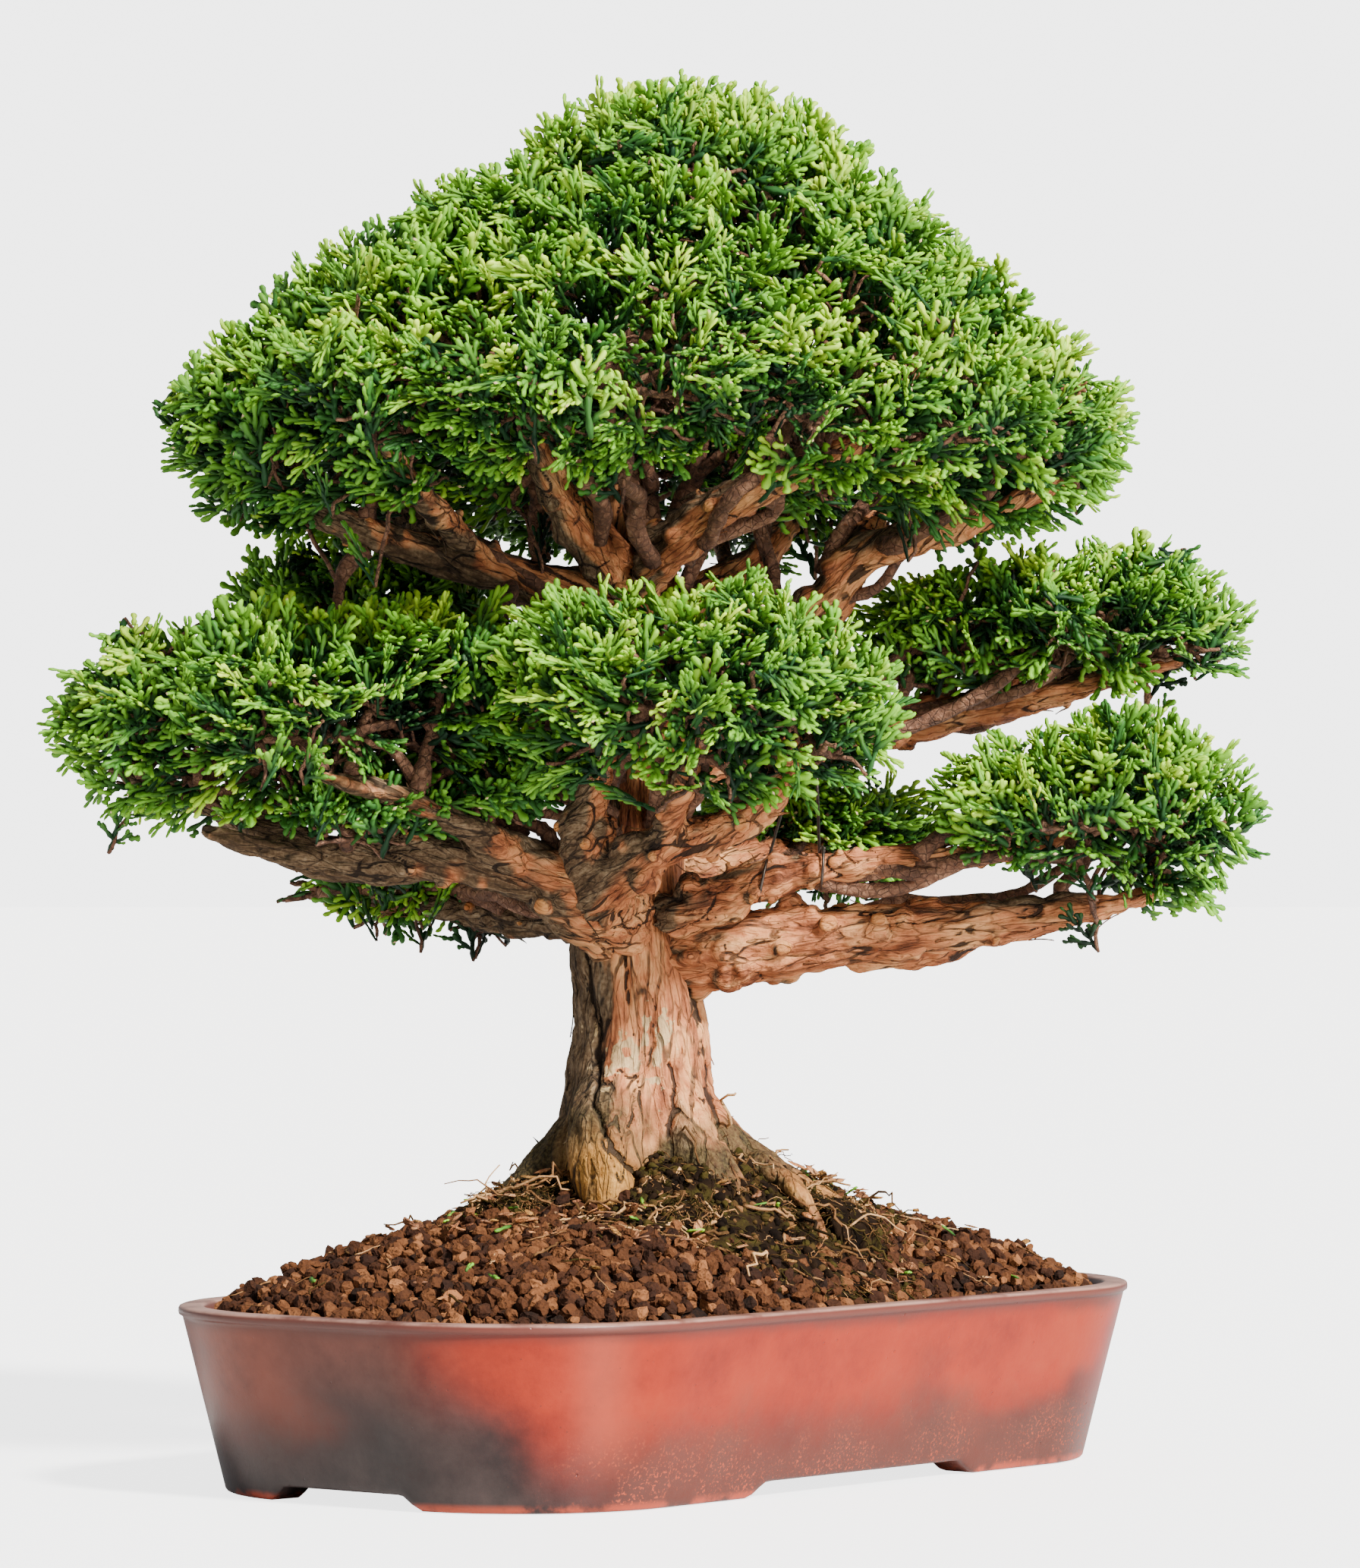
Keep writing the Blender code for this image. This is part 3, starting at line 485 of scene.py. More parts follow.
def collar_depth(bearing):
    """How thick the collar is at the trunk: most on the front right, least over the pale front root."""
    off_root = np.degrees(np.arccos(np.cos(bearing - math.radians(249))))
    front_right = np.maximum(np.cos(bearing - math.radians(310)), 0)
    return 19.0 + 9.0 * front_right - 19.0 * np.exp(-((off_root / 15) ** 2))


def collar_share(x, y):
    """How far a place is from the trunk, as a share of the collar's reach there."""
    bearing = np.arctan2(y, x - foot_x)
    return np.hypot(x - foot_x, y) / collar_reach(bearing)


def grain_finish():
    grain = Finish("clay_grains", Roughness=0.9, Specular_IOR_Level=0.2)
    tint = grain.carried("tint")
    pores = grain.cells(900.0)
    dust = grain.noise(500.0, 4.0, 0.65)
    crag = grain.noise(260.0, 3.0, 0.6)
    colour = (tint * 0.75 + dust * 0.3 + crag * 0.3 - 0.15).ramp(
        (0.05, (0.004, 0.0015, 0.0007)),
        (0.36, (0.030, 0.0095, 0.0035)),
        (0.62, (0.088, 0.030, 0.0095)),
        (0.92, (0.270, 0.105, 0.038)),
    )
    colour = grain.blend(colour, (0.02, 0.010, 0.006), pores.step(0.35, 0.05) * 0.6)
    relief = dust * 0.5 + pores * 0.5 + crag * 1.2
    return grain.finished(Base_Color=colour, Normal=grain.bump(relief, 0.0009, 0.9))


def grain_shapes(kinds, random):
    """Angular grains: balls with random flats broken off, of radius 1."""
    shape = bmesh.new()
    bmesh.ops.create_icosphere(shape, subdivisions=2, radius=1.0)
    ball = np.array([vertex.co for vertex in shape.verts])
    loops = np.array([vertex.index for face in shape.faces for vertex in face.verts])
    shape.free()
    made = []
    for _ in range(kinds):
        points = ball * random.uniform(0.75, 1.2, 3)
        for _ in range(9):
            flat = unit(random.normal(size=3))
            depth = random.uniform(0.48, 0.82)
            over = np.maximum(points @ flat - depth, 0)
            points = points - over[:, None] * flat
        made.append(points + 0.075 * random.normal(size=points.shape))
    return made, loops


def random_turns(count, random):
    """Random rotation matrices."""
    first = unit(random.normal(size=(count, 3)))
    second = unit(np.cross(first, random.normal(size=(count, 3))))
    return np.stack([first, second, np.cross(first, second)], 1)


def copies(shapes, loops, kinds, size, axes, middles):
    """Many small closed shapes as one body: each has its kind, size, orientation and place."""
    base = np.stack([shapes[kind] for kind in kinds]) * size
    points = np.einsum("nvi,nij->nvj", base, axes) + middles[:, None]
    offsets = np.arange(len(kinds))[:, None] * len(shapes[0])
    return points.reshape(-1, 3), (offsets + loops).ravel(), np.full(len(kinds) * len(loops) // 3, 3)


def make_mound():
    """The soil under the grains, from the floor of the pot up, painted near black as shade between the
    grains.
    """
    outline = pot_outline(soil_inset)
    lowest, lower = pot_wall + wall_inset(0.0135) + 0.008, pot_wall + wall_inset(0.019) + 0.001
    rings = [np.column_stack([pot_outline(lowest), np.full(len(outline), 0.0125)])]
    rings.append(np.column_stack([pot_outline(lower), np.full(len(outline), 0.0190)]))
    for share in np.linspace(1.0, 0.06, 46):
        height = np.full(len(outline), mound_height(share) - 2.2 * MM)
        rings.append(np.column_stack([outline * share, height]))
    points, loops, totals = stacked(rings)
    points = turned(points)
    top = points[:, 2] > 0.05
    points[:, 2] += top * MM * (1.1 * ripple(points, 0.0052, 11) + 0.7 * ripple(points, 0.0027, 12))
    # Near black: painted shade in the gaps between the grains.
    tint = np.full(len(points), -0.05)
    return solid("soil_mound", points, loops, totals, soil_finish, shades={"tint": tint})


def make_grains():
    """The grains that show, in a front and a back piece."""
    random = np.random.RandomState(21)
    shapes, loops = grain_shapes(24, random)
    across = np.arange(-0.19, 0.19, grain_spacing)
    rows = np.arange(-0.11, 0.11, grain_spacing * 0.87)
    x, y = np.meshgrid(across, rows)
    x = x + (np.arange(len(rows))[:, None] % 2) * grain_spacing / 2
    x, y = x.ravel(), y.ravel()
    x = x + random.normal(0, 0.7 * MM, len(x))
    y = y + random.normal(0, 0.7 * MM, len(y))
    share = mound_share(x, y)
    size = grain_radius * random.uniform(0.62, 1.30, len(x))
    keep = share < 0.985
    x, y, share, size = x[keep], y[keep], share[keep], size[keep]
    lift = random.normal(0, 0.8 * MM, len(x))
    centres = turned(np.column_stack([x, y, mound_height(share) - 0.6 * MM + lift]))
    to_collar = collar_share(centres[:, 0], centres[:, 1])
    keep = random.uniform(0.35, 1.0, len(x)) < to_collar
    centres, size, share, to_collar = centres[keep], size[keep], share[keep], to_collar[keep]
    centres[:, 2] += 16.0 * MM * np.clip(1.0 - to_collar, 0, 1)
    buried = []
    for centre in centres:
        hit = trunk_tree.ray_cast(Vector((centre[0], centre[1], 0.4)), Vector((0, 0, -1)))[0]
        buried.append(hit is not None and hit.z > centre[2] + 5 * MM)
    keep = ~np.array(buried)
    centres, size, share = centres[keep], size[keep], share[keep]
    extra = random.choice(len(centres), len(centres) // 5, replace=False)
    aside = random.normal(0, 1.6 * MM, (len(extra), 2))
    piled = centres[extra] + np.column_stack([aside, np.full(len(extra), 2.3 * MM)])
    inner = share[extra] < 0.95
    centres = np.concatenate([centres, piled[inner]])
    size = np.concatenate([size, 0.72 * size[extra][inner]])
    turns = random_turns(len(centres), random)
    kinds = random.randint(0, len(shapes), len(centres))
    tints = np.clip(random.normal(0.5, 0.23, len(centres)), 0, 1)
    view_side = centres[:, 1] < 0.0
    for label, chosen in (("front", view_side), ("back", ~view_side)):
        which = np.flatnonzero(chosen)
        body = copies(shapes, loops, kinds[which], size[which][:, None, None], turns[which], centres[which])
        tint = np.repeat(tints[which], len(shapes[0]))
        made = solid(f"soil_grains_{label}", *body, soil_finish, shades={"tint": tint}, sharp=26)
        piece(made, "clay_grains", "soil")


soil_finish = grain_finish()
piece(make_mound(), "clay_grains", "soil")
make_grains()

# ---------------------------------------------------------------- the wood
# The trunk with its surface roots, and the limbs, each one piece that grew. Red-brown stringy bark flakes
# off in long plates, and stubs and knobs line the limbs. The bark is furrowed on the left; its bright salmon
# towards the key light and its grey on the shaded left are partly painted light and shade.


trunk_grid, limb_grid, moss_grid = 0.905 * MM, 0.8 * MM, 1.0 * MM  # how fine each skin is
weld_distance = 0.01 * MM
graft_reach, graft_depth = 3.6, 1.8  # millimetres: wood this near to older wood grows into it, so deep
lowest_lump, soil_top = 0.130, 0.088  # heights that the knobs start at and that moss is measured from


def remeshed(name, mesh, voxel):
    """The mesh, melted into one even skin; returned as points and quads."""
    holder = bpy.data.objects.new(name, mesh)
    bpy.context.scene.collection.objects.link(holder)
    remesh = holder.modifiers.new("melt", "REMESH")
    remesh.mode, remesh.voxel_size = "VOXEL", voxel
    skin = bpy.data.meshes.new_from_object(holder.evaluated_get(bpy.context.evaluated_depsgraph_get()))
    bpy.data.objects.remove(holder, do_unlink=True)
    points = np.zeros(len(skin.vertices) * 3)
    skin.vertices.foreach_get("co", points)
    loops = np.zeros(len(skin.loops), np.int32)
    skin.loops.foreach_get("vertex_index", loops)
    return points.reshape(-1, 3), loops.reshape(-1, 4)


class Skin:
    """An even skin of four-sided faces, with the pairs of points that are neighbours on it."""

    def __init__(self, points, quads):
        self.points, self.quads = points, quads
        sides = [quads[:, [i, (i + 1) % 4]] for i in range(4)] + [quads[:, [0, 2]], quads[:, [1, 3]]]
        pairs = np.unique(np.sort(np.concatenate(sides), 1), axis=0)
        self.a = np.concatenate([pairs[:, 0], pairs[:, 1]])
        self.b = np.concatenate([pairs[:, 1], pairs[:, 0]])

    def spread(self, values, passes):
        """Values averaged with their neighbours, again and again."""
        total = 1 + np.bincount(self.a, minlength=len(self.points))
        for _ in range(passes):
            values = (values + np.bincount(self.a, values[self.b], len(self.points))) / total
        return values

    def relax(self, passes):
        """Smooths the skin."""
        self.points = np.stack([self.spread(self.points[:, i], passes) for i in range(3)], 1)

    def normals(self):
        first = self.points[self.quads[:, 2]] - self.points[self.quads[:, 0]]
        second = self.points[self.quads[:, 3]] - self.points[self.quads[:, 1]]
        flat = np.cross(first, second)
        total = np.zeros_like(self.points)
        for corner in range(4):
            for axis in range(3):
                total[:, axis] += np.bincount(self.quads[:, corner], flat[:, axis], len(self.points))
        return unit(total)


bark_shades = ("crack", "red", "lichen", "moss", "cut", "ochre")


def bark_finish():
    """Plates of stringy bark: the map runs long way along the wood, so that cracks and threads follow it."""
    bark = Finish("bark", IOR=1.45, Specular_IOR_Level=0.25)
    crack, red, lichen, moss, cut, ochre = (bark.carried(name) for name in bark_shades)
    run = bark.carried("run", "Vector")
    warp = bark.node("TexNoise", {}, {"Scale": 130.0, "Detail": 3.0, "Vector": run}, "Color")
    warped = bark.node("VectorMath", {"operation": "MULTIPLY_ADD"}, {0: warp, 1: (0.006,) * 3, 2: run})
    thread = bark.noise(520.0, 4.0, 0.7, warped)
    layers = bark.noise(150.0, 4.0, 0.6, warped)
    split = bark.cells(165.0, warped, feature="DISTANCE_TO_EDGE")
    small_split = bark.cells(420.0, warped, feature="DISTANCE_TO_EDGE")
    grit = bark.noise(700.0, 3.0, 0.6)
    patch = bark.noise(55.0, 4.0, 0.6)
    gate = patch.step(0.40, 0.60)
    line = (1.0 - split.step(0.02, 0.06)) * gate
    hair = (1.0 - small_split.step(0.01, 0.08)) * (1.0 - gate * 0.6) * (0.65 - red * 0.15)
    rift = (crack * 1.3 + thread * 0.9 + grit * 0.4 - 0.65).step(0.42, 0.80)
    every_dark = rift + line * 0.85 + hair
    dark = bark.node("Math", {"operation": "MINIMUM"}, {0: every_dark, 1: 1.0})
    salmon = (thread * 0.38 + layers * 0.60 + patch * 0.50 - 0.20).ramp(
        (0.34, (0.070, 0.018, 0.006)),
        (0.43, (0.240, 0.070, 0.026)),
        (0.53, (0.500, 0.175, 0.066)),
        (0.70, (0.760, 0.370, 0.150)),
    )
    grey = (thread * 0.45 + grit * 0.3 + layers * 0.35).ramp(
        (0.36, (0.024, 0.013, 0.006)),
        (0.50, (0.090, 0.052, 0.026)),
        (0.60, (0.190, 0.122, 0.066)),
        (0.76, (0.380, 0.285, 0.175)),
    )
    # Grey turns to bright salmon with the red value, which is partly painted light from the side facing the
    # key light.
    colour = bark.blend(grey, salmon, red)
    pale = thread.ramp((0.30, (0.28, 0.18, 0.08)), (0.55, (0.58, 0.41, 0.20)), (0.75, (0.78, 0.60, 0.32)))
    colour = bark.blend(colour, pale, (lichen + grit * 0.9 + patch * 0.6 - 0.86).step(0.42, 0.50) * 0.85)
    yellow = (thread * 0.6 + grit * 0.4).ramp((0.35, (0.22, 0.085, 0.014)), (0.7, (0.62, 0.31, 0.070)))
    colour = bark.blend(colour, yellow, ochre)
    # Near black in the cracks, splits and fine lines: partly the crevices' own dark colour, partly painted
    # shade.
    colour = bark.blend(colour, (0.014, 0.008, 0.005), dark * 0.94)
    green = grit.ramp((0.35, (0.014, 0.010, 0.005)), (0.7, (0.100, 0.074, 0.028)))
    colour = bark.blend(colour, green, moss)
    scar = thread.ramp((0.35, (0.40, 0.13, 0.035)), (0.7, (0.66, 0.31, 0.11)))
    colour = bark.blend(colour, scar, cut)
    relief = thread * 0.9 + layers * 0.9 + grit * 0.45 - line * 0.7 - hair * 0.6 - rift * 0.5
    roughness = 0.88 - red * 0.18 + moss * 0.1
    return bark.finished(Base_Color=colour, Roughness=roughness, Normal=bark.bump(relief, 0.0011, 1.0))


def with_lumps(shape, tree, count, random, base_z):
    """Adds knobs and short pruned stubs that stand on the wood; returns where the stubs' cut faces are."""
    faces = list(shape.faces)
    areas = np.array([face.calc_area() for face in faces])
    scars = []
    for number in range(count):
        face = faces[random.choice(len(faces), p=areas / areas.sum())]
        share = random.dirichlet((1, 1, 1))
        corners = [vertex.co for vertex in face.verts][:3]
        spot = corners[0] * share[0] + corners[1] * share[1] + corners[2] * share[2]
        normal = face.normal.copy()
        if base_z and spot.z < base_z:
            continue
        depth = tree.ray_cast(spot - normal * 0.0008, -normal)[3]
        girth = min((depth or 0.01) / 2, 0.009)
        if number % 4:
            radius = girth * random.uniform(0.30, 0.62)
            made = bmesh.ops.create_icosphere(shape, subdivisions=2, radius=radius)["verts"]
            squash = Vector(random.uniform(0.7, 1.5, 3))
            for vertex in made:
                vertex.co = vertex.co * squash + spot - normal * radius * random.uniform(0.3, 0.5)
        else:
            radius = max(girth * random.uniform(0.22, 0.36), 0.0012)
            length = girth * random.uniform(0.15, 0.45) + 0.0012
            lean = Vector(random.normal(0, 0.3, 3)) + normal
            lean.normalize()
            turn = lean.to_track_quat("Z", "Y").to_matrix()
            made = bmesh.ops.create_cone(
                shape, cap_ends=True, segments=12, radius1=radius * 2.0, radius2=radius, depth=length + 0.004
            )["verts"]
            for vertex in made:
                vertex.co = turn @ vertex.co + spot + lean * (length - 0.004) / 2
            scars.append((spot + lean * length, lean, radius))
    return scars


def along_the_wood(name, points):
    """Places on the bark with the way along the wood squeezed, and that way's direction."""
    squeeze = 0.15 if name == "trunk" else 0.20
    if name == "trunk":
        offset = points[:, :2] - (-0.010, 0.003)
        reach = np.hypot(offset[:, 0], offset[:, 1])
        girth = 0.020 + 0.35 * np.maximum(reach - 0.020, 0)
        outward = offset / np.maximum(reach, 1e-6)[:, None]
        around = outward * girth[:, None]
        twist = (points[:, 2] - 0.15) * 1.1
        c, s = np.cos(twist), np.sin(twist)
        turned_x, turned_y = c * around[:, 0] - s * around[:, 1], s * around[:, 0] + c * around[:, 1]
        down = points[:, 2] - 0.8 * reach
        leaning = np.clip((reach - 0.028) / 0.02, 0, 1)[:, None]
        way = np.column_stack([outward * leaning * 0.8, np.ones(len(points))])
        way[:, 2] -= 1.6 * leaning[:, 0]
        return np.column_stack([turned_x, turned_y, squeeze * down]), unit(way)
    middle = points.mean(0)
    _, axes = np.linalg.eigh(np.cov((points - middle).T))
    axis = axes[:, 2]
    reach = (points - middle) @ axis
    return points - middle - (1 - squeeze) * reach[:, None] * axis, np.broadcast_to(axis, points.shape)


strip_taper, strip_thickness = np.array([0.7, 1.0, 0.9, 0.7, 0.15]), 0.22 * MM


def together(*bodies):
    """Several bodies as one: points, corners and face sizes, and any further columns, end to end."""
    starts = np.cumsum([0] + [len(body[0]) for body in bodies[:-1]])
    points = np.concatenate([body[0] for body in bodies])
    loops = np.concatenate([body[1] + start for body, start in zip(bodies, starts)])
    return (points, loops, *(np.concatenate(column) for column in zip(*(body[2:] for body in bodies))))


def peelings(points, normals, way, count, random, size):
    """Thin strips of old bark that lift off along the wood."""
    which = random.choice(len(points), count)
    ahead = way[which] * random.choice((-1.0, 1.0), count)[:, None] + 0.25 * random.normal(size=(count, 3))
    ahead -= (ahead * normals[which]).sum(1, keepdims=True) * normals[which]
    ahead = unit(ahead)
    side = np.cross(ahead, normals[which])
    length = random.uniform(0.35, 1.0, count)[:, None, None] * size
    t = np.linspace(0, 1, len(strip_taper))[None, :, None]
    lift = random.uniform(0.05, 0.30, count)[:, None, None] * length
    routes = points[which][:, None] + ahead[:, None] * t * length + normals[which][:, None] * (t**2 * lift)
    wide = random.uniform(0.05, 0.12, count)[:, None, None] * length * strip_taper[None, :, None]
    edges = [routes + side[:, None] * wide, routes + normals[which][:, None] * strip_thickness]
    edges += [routes - side[:, None] * wide, routes - normals[which][:, None] * strip_thickness]
    ring_points = np.stack(edges, 2).reshape(-1, 3)
    index = np.arange(4)
    after = np.roll(index, -1)
    low = 4 * np.arange(len(strip_taper) - 1)[:, None]
    quads = np.stack([low + index, low + 4 + index, low + 4 + after, low + after], 2)
    last = 4 * (len(strip_taper) - 1)
    loops = np.concatenate([quads.ravel(), index, last + index[::-1]])
    offsets = np.arange(count)[:, None] * (last + 4)
    totals = np.full(count * len(loops) // 4, 4)
    return ring_points, (offsets + loops).ravel(), totals, np.repeat(which, last + 4)


# The deep crevices on the trunk's face: depth as a share, then points across and up, in millimetres.
trunk_crevices = (
    (1.0, (-28, 184), (-26.5, 165), (-22.5, 146), (-23.5, 124), (-17, 110), (-8, 101)),
    (0.85, (-15.5, 200), (-15, 176), (-12, 158), (-10.5, 146)),
    (0.7, (-4, 158), (-3, 142), (-9, 128), (-12, 117)),
    (0.75, (9, 172), (12, 150), (14, 128), (19, 112)),
    (0.6, (2, 136), (3, 122), (0, 112)),
    (0.5, (-2, 196), (1, 180), (-1, 168)),
)


def from_line(places, line):
    """How far flat places lie from a line through points given in millimetres."""
    line = np.array(line, float) * MM
    nearest = np.full(len(places), 1.0)
    for start, end in zip(line[:-1], line[1:]):
        share = np.clip(((places - start) @ (end - start)) / ((end - start) @ (end - start)), 0, 1)
        nearest = np.minimum(nearest, np.linalg.norm(places - start - share[:, None] * (end - start), axis=1))
    return nearest


def melted_wood(name, voxel, lumps, neighbours, random):
    """A CAD piece with knobs and stubs on it, melted into one skin, and where the stubs' cut faces are."""
    shape = bmesh.new()
    shape.from_mesh(nodes[name].data)
    bmesh.ops.remove_doubles(shape, verts=shape.verts, dist=weld_distance)
    bmesh.ops.recalc_face_normals(shape, faces=shape.faces)
    bmesh.ops.triangulate(shape, faces=shape.faces)
    if neighbours:
        for vertex in shape.verts:
            spot, normal, _, distance = neighbours.find_nearest(vertex.co)
            if distance < graft_reach * MM:
                vertex.co = spot - normal * graft_depth * MM
    shape.normal_update()
    lowest = lowest_lump if name == "trunk" else None
    scars = with_lumps(shape, BVHTree.FromBMesh(shape), lumps, random, lowest)
    mesh = bpy.data.meshes.new(name)
    shape.to_mesh(mesh)
    shape.free()
    skin = Skin(*remeshed(name, mesh, voxel))
    skin.relax(3)
    return skin, scars


# Places on the trunk: the smooth strip's sides and foot, the flaked band, and the ochre root's knuckle.
strip_left, strip_right, strip_foot = -0.016, 0.016, 0.128
flaked_height, knuckle_x, knuckle_height = 0.143, -0.021, 0.099


def furrowed(points, normals, run, trunk, furrow, seed):
    """The bark's relief in millimetres, its cracks, its plates and where the trunk's bare strip is."""
    front = normals[:, 1] < 0.2
    coarse = ripple(run, 0.0052, seed) + 0.45 * ripple(run, 0.0023, seed + 1)
    fine = ripple(run, 0.0015, seed + 2)
    other = ripple(run, 0.0030, seed + 3) + 0.3 * fine
    crack = np.exp(-((coarse / 0.075) ** 2)) * np.clip(0.35 + 0.9 * ripple(points, 0.016, seed + 4), 0, 1)
    crack = np.maximum(crack, 0.45 * np.exp(-((other / 0.05) ** 2)))
    smooth = np.zeros(len(points))
    if trunk:
        from_left = np.clip((points[:, 0] - strip_left) / 0.004, 0, 1)
        from_right = np.clip((strip_right - points[:, 0]) / 0.008, 0, 1)
        smooth = from_left * from_right * np.clip((points[:, 2] - strip_foot) / 0.03, 0, 1) * front
    crack = crack * (1 - 0.75 * smooth)
    plates = np.tanh(4.0 * coarse) * (1 - 0.7 * smooth)
    twisted = points if trunk else 0.5 * points + 0.5 * run
    fold = ripple(twisted, 0.0080, seed + 5)
    fold_height = np.abs(fold) ** 0.8 + 0.5 * np.abs(ripple(twisted, 0.0040, seed + 6))
    height = furrow * (0.26 * plates + 0.16 * fine + 0.22 * other - 1.1 * crack)
    if trunk:
        height += 0.7 * ripple(points, 0.0085, seed + 5) * (1 - 0.6 * smooth)
    else:
        height += 2.6 * fold_height - 1.0
        broken = np.clip(0.35 + 1.2 * ripple(points, 0.011, seed + 11), 0, 0.95)
        crack = np.maximum(crack, broken * np.exp(-((fold / 0.055) ** 2)))
    height += 0.22 * ripple(points, 0.0021, seed + 7)
    for deep, *line in trunk_crevices if trunk else ():
        wander = 0.0016 * ripple(points, 0.007, seed + 8) + 0.0007 * ripple(points, 0.0025, seed + 9)
        away = from_line(points[:, (0, 2)] + wander[:, None] * (1, 0), line)
        broken = np.clip(0.75 + ripple(points, 0.009, seed + 10), 0, 1) if deep < 1 else 1.0
        crack = np.maximum(crack, deep**0.5 * broken * front * np.exp(-((away / (0.8 * MM)) ** 2)))
        height -= 2.3 * deep * broken * front * np.exp(-((away / (1.1 * MM)) ** 2))
    return height, crack, plates, smooth


def weathered(points, normals, run, trunk, crack, plates, smooth, scars):
    """How red, flaked, mossy, cut or ochre the bark is at each point; the redness is partly painted light."""
    cut = np.zeros(len(points))
    for spot, lean, radius in scars:
        offset = points - np.array(spot)
        flat = np.abs(offset @ np.array(lean))
        cut = np.maximum(cut, (np.linalg.norm(offset, axis=1) < radius * 1.2) & (flat < 0.9 * MM))
    # Partly the bark's own redness, partly painted light: salmon facing the key light, grey on the shaded
    # left.
    redness_and_painted_light = 0.85 * normals[:, 0] - 0.30 * normals[:, 1] + 0.10
    redness_and_painted_light = redness_and_painted_light + 0.45 * ripple(run, 0.013, 61) + 0.30 * plates
    if trunk:
        redness_and_painted_light = redness_and_painted_light + 1.2 * smooth - 0.5 * np.clip((-0.018 - points[:, 0]) / 0.01, 0, 1)
    else:
        redness_and_painted_light = redness_and_painted_light + 0.25 - 0.25 * normals[:, 2] - 0.9 * np.clip(0.2 - points[:, 0] / 0.06, 0, 1)
    red = np.clip(redness_and_painted_light / 0.35 + 0.5, 0, 1)
    spots = ripple(run, 0.0062, 71) + 0.7 * ripple(points, 0.0032, 72) + 0.25 * plates
    flaked = 0.0
    if trunk:
        flaked = np.exp(-(((points[:, 2] - flaked_height) / 0.022) ** 2))
        flaked = flaked * np.clip(2 - np.abs(points[:, 0] + 0.012) / 0.009, 0, 1)
    lichen = np.clip((spots - 0.35 + 0.35 * flaked) / 0.7, 0, 1) * np.clip(1 - crack * 2, 0, 1)
    lichen *= 0.3 + 0.7 * flaked
    rise = points[:, 2] - soil_top
    edge = 0.038 + 0.012 * ripple(points, 0.014, 81) + 0.008 * ripple(points, 0.005, 82)
    moss = np.clip((edge - rise) / 0.020, 0, 0.92)
    reach = np.hypot(points[:, 0] - foot_x, points[:, 1])
    moss = moss * (1 - 0.6 * np.clip((reach - 0.052) / 0.02, 0, 1))
    aside, above = (points[:, 0] - knuckle_x) / 0.012, (points[:, 2] - knuckle_height) / 0.013
    knuckle = np.exp(-(aside**2) - above**2)
    ochre = np.clip(1.7 * knuckle * (points[:, 1] < -0.01), 0, 1) if trunk else np.zeros(len(points))
    rooty = np.clip((reach - 0.046) / 0.012, 0, 1) * (points[:, 2] < 0.115) if trunk else 0.0
    ochre = np.maximum(ochre, 0.75 * rooty * np.clip(0.6 + ripple(points, 0.012, 83), 0, 1))
    moss = moss * (1 - 0.85 * np.clip(1.3 * ochre, 0, 1))
    return dict(zip(bark_shades, (crack, red, lichen, moss, cut, ochre)))


def wood_skin(name, voxel, lumps, furrow, seed, neighbours=None):
    """One piece of wood with its bark, made on the CAD node's own shape."""
    random = np.random.RandomState(seed)
    trunk = name == "trunk"
    skin, scars = melted_wood(name, voxel, lumps, neighbours, random)
    points, normals = skin.points, skin.normals()
    run, way = along_the_wood(name, points)
    height, crack, plates, smooth = furrowed(points, normals, run, trunk, furrow, seed)
    slender = np.clip(1.0 - (points[:, 2] - 0.25) / 0.2, 0.45, 1.0)
    moved = points + normals * (height * MM * slender)[:, None]
    shades = weathered(points, normals, run, trunk, crack, plates, smooth, scars)
    count, size = (130, 12 * MM) if trunk else (45, 9 * MM)
    *strips, source = peelings(moved, normals, way, count, random, size)
    shades = {key: np.concatenate([values, values[source] * 0.9]) for key, values in shades.items()}
    shades["run"] = np.concatenate([run, run[source] + 0.002 * random.normal(size=(len(source), 3))])
    shades["crack"][len(points):] = 0.15
    body = together((moved, skin.quads.ravel(), np.full(len(skin.quads), 4)), strips)
    return solid(name + "_wood", *body, bark_look, shades=shades)


bark_look = bark_finish()
piece(wood_skin("trunk", trunk_grid, 8, 1.15, 101), "bark", "trunk")
earlier = ["trunk"]
for number, name in enumerate(limb_names):
    lumps = 44 if name in ("left_limb", "right_limb", "front_limb", "right_strand") else 30
    skin_piece = wood_skin(name, limb_grid, lumps, 0.6, 110 + 10 * number, tree_of(*earlier))
    piece(skin_piece, "bark", name)
    earlier.append(name)

# ---------------------------------------------------------------- moss and root fibre
# A dark collar of moss and old root fibre lies round the trunk's foot, in four patches between the roots.
# Each is a lumpy cushion on a wedge of peat, with loose crumbs and fibres of its own.

# Fibres in one patch: how many, shortest and longest, thinnest and thickest in millimetres, and how pale.
fibre_kinds = ((1150, 2.5, 10.0, 0.13, 0.34, 0.48), (80, 9, 24, 0.35, 0.85, 0.80))
crumb_count, root_stations = 900, 9


def tubes(routes, radii, sides):
    """Closed thin rods along routes of equal count: points, corners and face sizes."""
    count, stations = routes.shape[:2]
    ahead = unit(np.gradient(routes, axis=1))
    reference = np.where(np.abs(ahead[:, :1, 2:]) > 0.9, np.array([1.0, 0, 0]), np.array([0, 0, 1.0]))
    side = unit(np.cross(ahead, reference))
    other = np.cross(ahead, side)
    angles = np.arange(sides) * 2 * math.pi / sides
    ring = np.cos(angles)[:, None] * side[:, :, None] + np.sin(angles)[:, None] * other[:, :, None]
    points = routes[:, :, None] + ring * radii[:, :, None, None]
    loops, totals = closed_faces(stations, sides)
    offsets = np.arange(count)[:, None] * stations * sides
    return points.reshape(-1, 3), (offsets + loops).ravel(), np.tile(totals, count)


